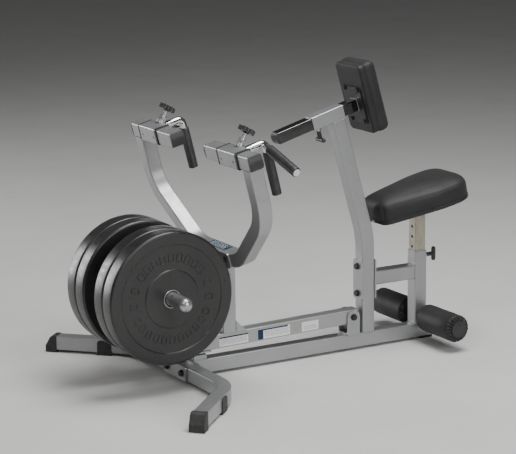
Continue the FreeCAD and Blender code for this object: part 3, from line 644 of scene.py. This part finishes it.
def upholstered(name, node, body, pad, levels, board, voxel, cap, seam, wrinkle, creases=()):
    """Cover a pad: loft, remesh, puff by cloth simulation, then press in the seams.

    levels are (share, height) of the lofted rings and points below board stay put. Each seam
    is (height, depth, width), each crease (spot, depth, width, lowest, highest).
    """
    build = Build()
    build.grid([pad.ring(share, height) for share, height in levels])
    obj = build.object(name, None, [MATERIALS["black_vinyl"]])
    remeshed(obj, voxel)
    puffed(obj, lambda co: pad.local(co)[2] < board, cap)
    smoothed(obj)
    reach = max(spot.length for spot in pad.outline)
    for vertex in obj.data.vertices:
        x, y, height = pad.local(vertex.co)
        flat = pad.across * x + pad.along * (y - min(max(y, pad.core[0]), pad.core[1]))
        if flat.length < 1e-6:
            continue
        dent = sum(deep * bell(height - level, width) for level, deep, width in seam)
        for spot, deep, width, low, high in creases:
            if low < height < high:
                dent += deep * bell(math.hypot(x - spot[0], y - spot[1]), width)
        edge = min(1.0, flat.length / (0.3 * reach))
        ripple = wrinkle * noise.noise(vertex.co * 55) * bell(height - seam[0][0], 14 * MM)
        ripple += 0.35 * wrinkle * noise.noise(vertex.co * 20)
        vertex.co += flat.normalized() * (ripple - dent) * edge
    obj.data.update()
    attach(obj, body)
    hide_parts(node)


def piping(name, body, pad, share, height, radius):
    """Thin welt sewn round a pad."""
    build = Build()
    build.tube(resampled(pad.ring(share, height), 3 * MM), radius)
    obj = build.object(name, body, [MATERIALS["black_vinyl"]])


def seat_cushion():
    """Seat: narrow in front and wide behind, with a crowned top."""
    low, high = span("seat_pad", SEAT_WAY)
    bottom, top = span("seat_pad", SEAT_UP)
    length = high - low
    thick = top - bottom
    half_front = 76 * MM
    half_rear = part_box("seat_pad")[1].x
    waist = 0.62 * length
    corners = [(half_front, 0), (half_rear, waist), (half_rear, length), (-half_rear, length),
               (-half_rear, waist), (-half_front, 0)]
    radii = [38 * MM, 150 * MM, 72 * MM, 72 * MM, 150 * MM, 38 * MM]
    outline = rounded_path([Vector((x, y, 0)) for x, y in corners], radii, 5 * MM)
    pad = Pad(SEAT_WAY * low + SEAT_UP * bottom, X, SEAT_WAY, SEAT_UP, outline,
              (half_front * 0.9, length - half_rear * 0.55))
    crown = thick + 10 * MM
    welt = 14 * MM
    levels = [(0.02, 0), (0.93, 0), (0.985, 1 * MM), (1.0, 4 * MM), (1.0, 11 * MM), (0.968, welt),
              (0.986, 19 * MM), (0.990, 36 * MM), (0.988, thick - 32 * MM), (0.982, thick - 26 * MM),
              (0.955, thick - 19 * MM), (0.895, thick - 12 * MM), (0.78, thick - 4 * MM),
              (0.6, thick + 3 * MM), (0.4, thick + 8 * MM), (0.2, crown), (0.02, crown)]
    fold = half_front - 9 * MM
    creases = [((x, 9 * MM), 3.2 * MM, 5 * MM, 15 * MM, thick) for x in (-fold, fold)]
    upholstered("seat_cushion", "seat_pad", "seat", pad, levels, board=welt, voxel=5 * MM, cap=5 * MM,
                seam=[(welt, 1.6 * MM, 2.2 * MM), (thick - 21 * MM, 0.8 * MM, 1.8 * MM)],
                wrinkle=0.9 * MM, creases=creases)
    piping("seat_welt", "seat", pad, 0.984, welt, 1.5 * MM)
    eyelet = Build()
    eyelet.lathe(pad.point(STUD_AT, 1.0, 8 * MM), -SEAT_WAY,
                 [(-1 * MM, 5 * MM), (1.6 * MM, 5 * MM), (2.6 * MM, 3.6 * MM), (2.8 * MM, 1.0 * MM)], 24)
    eyelet.object("seat_front_stud", "seat", [MATERIALS["bright_steel"]])


def chest_cushion():
    """Chest pad: a block with rounded corners and a full front."""
    near, far = span("chest_pad", SLIDE_WAY)
    low, high = span("chest_pad", SLIDE_UP)
    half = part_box("chest_pad")[1].x
    thick = far - near
    tall = high - low
    welt = 22.5 * MM
    corners = [(half, -tall / 2), (half, tall / 2), (-half, tall / 2), (-half, -tall / 2)]
    outline = rounded_path([Vector((x, y, 0)) for x, y in corners], 17 * MM, 4 * MM)
    pad = Pad(SLIDE_WAY * near + SLIDE_UP * ((low + high) / 2), X, SLIDE_UP, SLIDE_WAY, outline,
              (half - tall / 2, tall / 2 - half))
    levels = [(0.02, 0), (0.94, 0), (0.985, 1 * MM), (1.0, 4 * MM), (1.0, 19 * MM), (0.965, welt),
              (1.01, 27 * MM), (1.035, 44 * MM), (1.005, thick - 10 * MM), (0.975, thick - 4 * MM),
              (0.88, thick - 2 * MM), (0.4, thick - 0.5 * MM), (0.02, thick)]
    upholstered("chest_cushion", "chest_pad", "chest", pad, levels, board=21 * MM, voxel=4 * MM, cap=7 * MM,
                seam=[(welt, 1.1 * MM, 2.0 * MM), (thick - 7 * MM, 0.7 * MM, 1.8 * MM)],
                wrinkle=0.8 * MM)
    piping("chest_welt", "chest", pad, 0.982, welt, 1.4 * MM)


def roller_cover(side, sign):
    """Foam roller in a vinyl sleeve, gathered into pleats round both ends."""
    node = "roller_" + side
    low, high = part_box(node)
    centre = Vector((0, (low.y + high.y) / 2, (low.z + high.z) / 2))
    start, end = sideways(node)
    radius = (high.z - low.z) / 2
    rounding = radius - ROLLER_LIP - 1 * MM
    chance = random.Random(7 if sign > 0 else 8)
    depths = [chance.uniform(0.55, 1.3) for _ in range(PLEATS)]
    shifts = [chance.uniform(-0.22, 0.22) for _ in range(PLEATS)]

    def gather(along, size, turn):
        """Depth of the pleats: sharp ridges with pits between them on the round shoulder."""
        position = turn / (2 * math.pi) * PLEATS
        number = int(position) % PLEATS
        inside = position % 1.0
        wave = math.sin(math.pi * min(max(inside + shifts[number] * math.sin(math.pi * inside), 0), 1))
        ring_share = bell(size - (ROLLER_LIP + PLEAT_BAND), PLEAT_BAND) if size > ROLLER_LIP else 0.0
        fade = bell(min(along - start, end - along), PLEAT_FADE)
        crease = 0.7 * MM * noise.noise(Vector((along * 30, math.cos(turn) * 2.5, math.sin(turn) * 2.5)))
        return PLEAT_DEPTH * wave ** 1.8 * depths[number] * ring_share * fade + crease * (1 - ring_share)

    shoulder = [(end - rounding * 0.75 * (1 - math.sin(t)), radius - rounding * (1 - math.cos(t)))
                for t in quarter_turns(12)]
    face = [(1.2 * MM, ROLLER_LIP - 1 * MM), (2.4 * MM, ROLLER_LIP - 4 * MM), (2.4 * MM, ROLLER_BORE)]
    outer = shoulder + [(end - dip, size) for dip, size in face]
    inner = [(start + (end - at), size) for at, size in reversed(outer)]
    first = start + 0.75 * rounding
    length = end + start - 2 * first
    barrel = [(first + length * k / BARREL_STEPS, radius) for k in range(1, BARREL_STEPS)]
    build = Build()
    build.lathe(centre, X * sign, inner + barrel + outer, ROLLER_SEGMENTS, closed=True, dent=gather)
    obj = build.object("roller_cover_" + side, node_body(node), [MATERIALS["black_vinyl"]])
    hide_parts(node)


def node_body(node):
    """Body that a CAD node belongs to."""
    return NODES[node]["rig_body"]


# -------- weight plates
RECESS = 3.2 * MM  # depth of the band between hub and rim
PLATE_BORE = 31 * MM
HUB = 93 * MM  # radius where the hub's face ends
RIM = 188 * MM  # radius where the rim's face starts
TREAD_EDGE = 8 * MM  # rounding of the tread
BLOCK_RISE = 2.5 * MM  # moulded frames on the band: height
BLOCK_WALL = 4.2 * MM  # and width of their walls
# section of a wall: (share of width, share of height)
BLOCK_SECTION = ((0, 0), (0.1, 0.9), (0.25, 1.0), (0.75, 1.0), (0.9, 0.9), (1.0, 0))
BUSH_BORE = 24.8 * MM
BUSH_SHADOW = 27.5 * MM  # the bush is painted black inside this radius, as painted shade in the bore


def plate_cover(name, sign):
    """Bumper plate: hub and rim stand proud of a recessed band with plain raised blocks."""
    node = "plate_" + name
    low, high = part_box(node)
    inner, outer = sideways(node)
    radius = (high.z - low.z) / 2
    hub = [(0.0, PLATE_BORE), (0.0, HUB), (0.3 * MM, HUB + 2.6 * MM), (1.1 * MM, HUB + 4.4 * MM),
           (RECESS, HUB + 6 * MM), (RECESS, HUB + 10 * MM)]
    step = [(RECESS, RIM - 9 * MM), (RECESS, RIM - 6 * MM), (1.0 * MM, RIM - 4.2 * MM),
            (0.2 * MM, RIM - 2.8 * MM), (0.0, RIM), (0.0, radius - 9 * MM)]
    rim = [(TREAD_EDGE * (1 - math.cos(t)), radius - TREAD_EDGE * (1 - math.sin(t)))
           for t in quarter_turns(6)]
    face = hub + step + rim
    front = [(inner + dip, size) for dip, size in face]
    back = [(outer - dip, size) for dip, size in reversed(face)]
    build = Build()
    build.lathe(HORN, X * sign, front + back, segments=256, closed=True)
    raised_blocks(build, sign, outer - RECESS)
    obj = build.object("bumper_" + name, node_body(node), [MATERIALS["plate_rubber"]])
    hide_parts(node)
    plate_bush(name, sign)


def raised_blocks(build, sign, face_x):
    """Rows of plain moulded frames round the recessed band, as an ornament."""

    def frame_at(turn, low, high, half_width):
        out = Vector((0, math.cos(turn), math.sin(turn)))
        across = Vector((0, -math.sin(turn), math.cos(turn)))
        centre = HORN + X * (sign * (face_x - 0.3 * MM)) + out * ((low + high) / 2)
        corners = rectangle(centre, out, across, high - low, 2 * half_width)
        path = rounded_path(corners, 3 * MM, 2 * MM)
        rings = []
        for share, lift in BLOCK_SECTION:
            ring = []
            for point in path:
                inward = (centre - point).normalized()
                ring.append(point + inward * (BLOCK_WALL * share) + X * (sign * BLOCK_RISE * lift))
            rings.append(ring)
        build.grid(rings, closed_path=True)

    def row(first, last, count, low, high, half_width):
        """Frames from one angle to another, between two radii in millimetres."""
        for k in range(count):
            turn = math.radians(first + (last - first) * k / (count - 1))
            frame_at(turn, low * MM, high * MM, half_width * MM)

    # arcs above and below, and two frames on each side
    row(38, 142, 9, 122, 154, 11.0)
    row(205, 335, 11, 125, 152, 10.5)
    row(162, 184, 2, 124, 154, 10.5)
    row(-4, 18, 2, 124, 154, 10.5)


def plate_bush(name, sign):
    """Steel bush: a bright lip round a bore painted black, a painted shade for the shadow in the bore."""
    node = "plate_bush_" + name
    start, end = sideways(node)
    half = [(3.5 * MM, BUSH_BORE), (3.0 * MM, 26.5 * MM), (0.2 * MM, 27.6 * MM), (-0.9 * MM, 28.4 * MM),
            (-1.1 * MM, 29.6 * MM), (-0.6 * MM, 30.9 * MM), (0.5 * MM, PLATE_BORE)]
    profile = [(start + dip, size) for dip, size in half]
    profile += [(end - dip, size) for dip, size in reversed(half)]
    build = Build()
    build.lathe(HORN, X * sign, profile, closed=True)
    steel_and_painted_shade = [MATERIALS["bright_steel"], MATERIALS["black_steel"]]
    obj = build.object("bush_" + name, node_body(node), steel_and_painted_shade)
    # faces inside BUSH_SHADOW get black steel: painted shade in the bore, not a darker metal
    for polygon in obj.data.polygons:
        away = average([obj.data.vertices[i].co for i in polygon.vertices]) - HORN
        polygon.material_index = 1 if math.hypot(away.y, away.z) < BUSH_SHADOW else 0
    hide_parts(node)


# -------- handles
HANDLE_ROD = 12.5 * MM  # radius of the bent handle bars
GRIP_RADIUS = 16.5 * MM
GRIP_EDGE = 3 * MM  # rounding of a grip's ends
GRIP_BULGE = 0.35 * MM
UPRIGHT_GRIP = 149 * MM  # lengths of the two grips on each handle
OUTER_GRIP = 157 * MM
GRIP_FALL = 21  # degrees the outer grip falls outwards
SCREW_INSETS = (14 * MM, 17 * MM)  # set screws from the inner and outer end of a sleeve
SCREW_RISE = 25.75 * MM  # and above its underside
# end and socket in millimetres: (out of the face, radius)
SCREW_SHAPE = ((-2.6, 3.4), (-0.8, 3.4), (-0.4, 3.0), (-0.4, 1.7), (-2.0, 1.6), (-2.0, 0.05))


def rounded_sleeve(build, start, way, length, outer, bore):
    """Rubber sleeve on a bar, with rounded ends and a slight bulge in the middle."""
    near = [(GRIP_EDGE * (1 - math.sin(t)), outer - GRIP_EDGE * (1 - math.cos(t)))
            for t in reversed(quarter_turns(5))]
    far = [(length - dip, size) for dip, size in reversed(near)]
    body = [(GRIP_EDGE + (length - 2 * GRIP_EDGE) * share, outer + GRIP_BULGE * math.sin(math.pi * share))
            for share in (k / 14 for k in range(1, 14))]
    inside = [(length - 0.6 * MM, bore), (0.6 * MM, bore)]
    build.lathe(start, way, near + body + far + inside, segments=48, closed=True)


def grips(side, sign):
    """Both rubber grips of one handle; their places come from the CAD grips."""
    node = "handle_grips_" + side
    fall = math.radians(GRIP_FALL)
    out = X * sign * math.cos(fall) - HEAD_UP * math.sin(fall)
    points = [v.co for v in NODES[node].data.vertices]
    build = Build()
    for way, length in ((-HEAD_UP, UPRIGHT_GRIP), (out, OUTER_GRIP)):
        reach = max(p.dot(way) for p in points)
        end = average([p for p in points if p.dot(way) > reach - 2 * MM])
        end += way * (reach - end.dot(way))
        rounded_sleeve(build, end - way * length, way, length, GRIP_RADIUS, HANDLE_ROD + 0.05 * MM)
    obj = build.object("grips_" + side, node_body(node), [MATERIALS["grip_rubber"]])
    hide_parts(node)


def set_screws(side, sign):
    """Two black socket set screws in the front face of a handle's sleeve."""
    node = "handle_sleeve_" + side
    inner, outer = sideways(node)
    face = HEAD_REAR * span(node, HEAD_REAR)[0]
    rise = HEAD_UP * (span(node, HEAD_UP)[0] + SCREW_RISE)
    profile = [(along * MM, size * MM) for along, size in SCREW_SHAPE]
    build = Build()
    for x in (inner + SCREW_INSETS[0], outer - SCREW_INSETS[1]):
        build.lathe(face + rise + X * (sign * x), -HEAD_REAR, profile, segments=24)
    screws = build.object("set_screws_" + side, node_body(node), [MATERIALS["black_steel"]])


# -------- welds
BEAD = 2.2 * MM  # usual radius of a bead
ROUND_BEAD = 2.0 * MM
THIN_BEAD = 1.8 * MM
BEAD_STEP = 1.1 * MM  # between the points of a bead
BEAD_PITCH = 3.2 * MM  # between its ripples
BEAD_GAP = 0.6 * MM  # how much wider than its tube a bead's loop is
FLANGE = 6 * MM  # thickness of the bolted end plates
SEAT_TUBE_RISE = 193 * MM  # centre of the seat tube above the base tube
GUSSET = 38 * MM  # length of the gusset behind the lever's post
HORN_COLLAR = 24 * MM  # radius of the collars on the horns


class Welds:
    """The weld beads of one body, all in one piece."""

    def __init__(self, body):
        self.body = body
        self.build = Build()

    def loop(self, path, radius):
        """Bead along a closed path, with regular ripples and some unevenness."""

        def size(i):
            scale = 0.82 + 0.22 * abs(math.sin(math.pi * i * BEAD_STEP / BEAD_PITCH))
            return radius * (scale + 0.12 * noise.noise(path[i] * 240))

        self.build.tube(path, size)

    def square(self, centre, across, along, width=TUBE, depth=TUBE, radius=BEAD):
        """Bead round a rectangular tube."""
        corners = rectangle(centre, across, along, width + BEAD_GAP, depth + BEAD_GAP)
        self.loop(rounded_path(corners, TUBE_CORNER, BEAD_STEP), radius)

    def central(self, y, z, along, depth=TUBE, radius=BEAD):
        """Bead round a tube that stands in the middle plane."""
        self.square(Vector((0, y, z)), X, along, TUBE, depth, radius)

    def round(self, centre, normal, size):
        """Bead round a bar or a collar of a given radius."""
        self.loop(circle(centre, normal, size, BEAD_STEP), ROUND_BEAD)

    def finish(self):
        obj = self.build.object(self.body + "_welds", self.body, [WELD])


def cut(node, up, level, way):
    """Middle and length, along way, of the part of a node above a level along up."""
    reach = [v.co.dot(way) for v in NODES[node].data.vertices if v.co.dot(up) > level]
    return (min(reach) + max(reach)) / 2, max(reach) - min(reach)


def frame_welds():
    """Beads where the posts, the seat tube, the rest, the bracket and the flanges are joined."""
    welds = Welds("frame")
    base_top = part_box("front_stabilizer")[1].z
    receiver = middle("seat_receiver").y
    seat_tube = base_top + SEAT_TUBE_RISE
    welds.central(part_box("upright")[1].y - HALF, base_top, Y)
    welds.central(receiver, base_top, Y)
    welds.central(receiver - HALF, seat_tube, Z)
    welds.central(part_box("seat_frame")[0].y + FLANGE, seat_tube, Z)
    low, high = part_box("lever_rest")
    welds.central((low.y + high.y) / 2, base_top, Y, high.y - low.y)
    low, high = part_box("pivot_bracket")
    welds.central((low.y + high.y) / 2, base_top + 0.5 * MM, Y, high.y - low.y, THIN_BEAD)
    level = span("chest_sleeve", SLIDE_UP)[0]
    along = cut("upright", SLIDE_UP, level - 3 * MM, SLIDE_WAY)[0]
    welds.square(SLIDE_WAY * along + SLIDE_UP * level, X, SLIDE_WAY)
    welds.central(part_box("base_tube")[0].y + FLANGE, base_top - HALF, Z)
    welds.finish()


def lever_welds():
    """Beads of the lever's post, the horns' beam, the yoke and both heads."""
    welds = Welds("lever")
    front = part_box("lever_post")[0].y
    gusset = front + TUBE + GUSSET / 2
    welds.central(front, middle("horn_beam").z, Z)
    welds.central(front + HALF, lever_top(front + HALF), Y)
    welds.central(gusset, lever_top(gusset), Y, GUSSET)
    head = HEAD_UP * span("handle_tubes", HEAD_UP)[0]
    head += HEAD_REAR * (span("handle_tubes", HEAD_REAR)[0] + HALF)
    arm_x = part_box("yoke")[1].x - HALF
    for sign in (-1, 1):
        welds.square(head + X * (sign * arm_x), X, HEAD_REAR)
        welds.round(HORN + X * (sign * (HALF + 0.3 * MM)), X, HORN_COLLAR + 0.3 * MM)
    level = span("yoke", HEAD_UP)[0]
    rear, depth = cut("lever_post", HEAD_UP, level - 2 * MM, HEAD_REAR)
    welds.square(HEAD_UP * level + HEAD_REAR * rear, X, HEAD_REAR, TUBE, depth)
    welds.finish()


def lever_top(y):
    """Height of the lever tube's upper face at y."""
    pivot = middle("pivot_bolt")
    return pivot.z + (y - pivot.y) * LEVER_SLOPE + HALF


def handle_welds(side):
    """Bead round a handle's bar where it leaves the sleeve."""
    welds = Welds(side + "_handle")
    bar = NODES["handle_bar_" + side]
    start = min(v.co.dot(HEAD_REAR) for v in bar.data.vertices)
    ring = [v.co for v in bar.data.vertices if v.co.dot(HEAD_REAR) < start + 0.5 * MM]
    welds.round(average(ring) + HEAD_REAR * 0.5 * MM, HEAD_REAR, HANDLE_ROD + 0.3 * MM)
    welds.finish()


def support_welds():
    """Beads under the seat's bracket and on the chest pad's plate."""
    seat = Welds("seat")
    level = span("seat_bracket", SEAT_UP)[0]
    along, depth = cut("seat_post", SEAT_UP, level - 2 * MM, SEAT_WAY)
    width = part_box("seat_post")[1].x * 2
    seat.square(SEAT_WAY * along + SEAT_UP * level, X, SEAT_WAY, width, depth, THIN_BEAD)
    seat.finish()
    chest = Welds("chest")
    near = span("chest_plate", SLIDE_WAY)[0]
    low, high = span("chest_tube", SLIDE_UP)
    centre = SLIDE_WAY * near + SLIDE_UP * ((low + high) / 2)
    chest.square(centre, X, SLIDE_UP, high - low, high - low, ROUND_BEAD)
    chest.finish()


# -------- labels
FILM = 0.25 * MM  # thickness of a label and of each layer of ink
LABEL_LOW = -20  # millimetres above the lever's middle line
BAND = 5  # width of the printed blue bands
DIAMOND_AT = -232  # a small diamond between two labels
NOTICE_HALF = 66  # label on the yoke: half width
NOTICE_DEPTHS = (9, 44)  # and its edges behind the yoke's front face


def lever_labels():
    """Plain stickers on the lever's left face, with dashes for small print and no lettering.

    Places are millimetres along the lever from the pivot and above its middle line.
    """
    pivot = middle("pivot_bolt")
    way = Vector((0, 1, LEVER_SLOPE)).normalized()
    up = Vector((0, -LEVER_SLOPE, 1)).normalized()
    origin = Vector((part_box("lever_post")[1].x, pivot.y, pivot.z))
    white, blue, grey, gold = range(4)
    build = Build()

    def patch(start, end, low, high, slot, lift=FILM):
        """Rectangle of film on the lever's face."""
        base = origin + way * (start * MM) + up * (low * MM) + X * lift
        length = way * ((end - start) * MM)
        height = up * ((high - low) * MM)
        build.slab([base, base + length, base + length + height, base + height], X, FILM, slot)

    def print_rows(start, end, low, high, pitch, seed):
        """Rows of short grey dashes, which stand for small print."""
        pick = random.Random(seed)
        level = high - pitch
        while level > low + 0.4 * pitch:
            at = start
            while at < end - 3:
                dash = min(pick.uniform(3, 11), end - at)
                patch(at, at + dash, level, level + 0.38 * pitch, grey)
                at += dash + pick.uniform(1.2, 2.4)
            level -= pitch

    # front label
    patch(-539, -426, LABEL_LOW, 13, white, 0)
    patch(-539, -426, 13 - BAND, 13, blue)
    print_rows(-534, -431, -17, 6, 3.2, 3)
    # middle label, with a band down its front edge too
    patch(-387, -259, LABEL_LOW, 15, white, 0)
    patch(-387, -366, LABEL_LOW, 15, blue)
    patch(-366, -267, 15 - BAND, 15, blue)
    print_rows(-361, -264, -17, 8, 3.0, 5)
    # rear label
    patch(-210, -143, LABEL_LOW, 13, white, 0)
    print_rows(-204, -149, 5, 11, 3.4, 9)
    print_rows(-204, -149, -17, 3, 2.6, 11)
    diamond = origin + way * (DIAMOND_AT * MM) - up * 5 * MM
    along, tall = way * 14 * MM, up * 11 * MM
    corners = [diamond - along, diamond - tall, diamond + along, diamond + tall]
    build.slab(corners, X, FILM, gold)
    build.slab([diamond + (c - diamond) * 0.62 + X * FILM for c in corners], X, FILM, grey)
    build.object("lever_labels", "lever", [PAPER, INK, GREY_INK, GOLD_INK], smooth=False)


def yoke_label():
    """Blue notice on top of the yoke's middle, with pale dashes."""
    top = span("yoke", HEAD_UP)[0] + TUBE
    near = span("yoke", HEAD_REAR)[0]
    blue, white = range(2)
    build = Build()

    def patch(start, end, front, back, slot, lift=0.0):
        """Rectangle of film, its edges in millimetres."""
        corners = [X * x * MM + HEAD_UP * (top + lift) + HEAD_REAR * (near + depth * MM)
                   for x, depth in ((start, front), (end, front), (end, back), (start, back))]
        build.slab(corners, HEAD_UP, FILM, slot)

    patch(-NOTICE_HALF, NOTICE_HALF, *NOTICE_DEPTHS, blue)
    pick = random.Random(21)
    for row in range(6):
        at = -56.0
        depth = 14 + 5 * row
        while at < 50:
            tip = min(at + pick.uniform(5, 14), 58)
            patch(at, tip, depth, depth + 1.1, white, FILM)
            at = tip + pick.uniform(3, 9)
    build.object("yoke_label", "lever", [INK, PAPER], smooth=False)


# -------- studio
FLOOR_REACH = 40  # metres from the middle
TARGET = Vector((0, 0, 0.5))  # all lights face this point
AZIMUTH = math.radians(60.356)  # camera's direction, measured from the front
ELEVATION = math.radians(12.2955)
ROLL = math.radians(-0.7274)
LENS = 141.59  # millimetres, on a sensor 36 wide
LENS_SHIFT = (-0.0018, 0.0002)
CAMERA_AWAY = Vector((5.91292, -2.93963, 1.6431))  # from the weight horns' axis


def floor():
    """Pale matt floor out to the horizon."""
    build = Build()
    build.add(rectangle(Vector(), X, Y, 2 * FLOOR_REACH, 2 * FLOOR_REACH), [(0, 1, 2, 3)])
    look = Look("floor", (0.62, 0.61, 0.60), Roughness=0.7)
    tone = look.cloud(3, 5)
    color = look.ramp(tone, (0.3, (0.60, 0.595, 0.585)), (0.7, (0.64, 0.635, 0.625)))
    obj = build.object("floor", None, [look.done(color)], smooth=False)


def lamp(name, place_at, width, height, power):
    """Rectangular area light facing the machine."""
    data = bpy.data.lights.new(name, "AREA")
    data.shape = "RECTANGLE"
    data.size = width
    data.size_y = height
    data.energy = power
    light = bpy.data.objects.new(name, data)
    bpy.context.scene.collection.objects.link(light)
    light.location = place_at
    light.rotation_mode = "QUATERNION"
    light.rotation_quaternion = (light.location - TARGET).to_track_quat("Z", "Y")


def studio():
    """Floor, dim even surroundings and four lights."""
    floor()
    world = bpy.data.worlds.new("studio")
    bpy.context.scene.world = world
    world.use_nodes = True
    background = world.node_tree.nodes["Background"]
    background.inputs["Color"].default_value = (0.80, 0.80, 0.80, 1)
    background.inputs["Strength"].default_value = 0.10
    lamp("key", (2.4, -3.6, 4.0), 1.6, 2.4, 42)
    lamp("top", (0.8, 0.6, 4.6), 2.6, 2.6, 245)
    lamp("side", (4.8, 0.3, 2.2), 2.0, 2.4, 100)
    lamp("rim", (-4.6, -2.8, 1.3), 0.8, 2.4, 105)


def camera():
    """Long lens from the front left."""
    level = math.cos(ELEVATION)
    back = Vector((math.sin(AZIMUTH) * level, -math.cos(AZIMUTH) * level, math.sin(ELEVATION)))
    right = Vector((math.cos(AZIMUTH), math.sin(AZIMUTH), 0))
    up = back.cross(right)
    turned_right = right * math.cos(ROLL) + up * math.sin(ROLL)
    turned_up = up * math.cos(ROLL) - right * math.sin(ROLL)
    data = bpy.data.cameras.new("camera")
    data.sensor_width = 36
    data.lens = LENS
    data.shift_x, data.shift_y = LENS_SHIFT
    data.clip_end = 100
    obj = bpy.data.objects.new("camera", data)
    bpy.context.scene.collection.objects.link(obj)
    obj.matrix_world = Matrix((turned_right, turned_up, back)).transposed().to_4x4()
    obj.location = HORN + CAMERA_AWAY
    bpy.context.scene.camera = obj


# -------- the whole machine
dress_frame()
seat_cushion()
chest_cushion()
for side, sign in (("left", 1), ("right", -1)):
    roller_cover(side, sign)
    grips(side, sign)
    set_screws(side, sign)
    handle_welds(side)
    plate_cover(side + "_inner", sign)
    plate_cover(side + "_outer", sign)
frame_welds()
lever_welds()
support_welds()
lever_labels()
yoke_label()
studio()
camera()
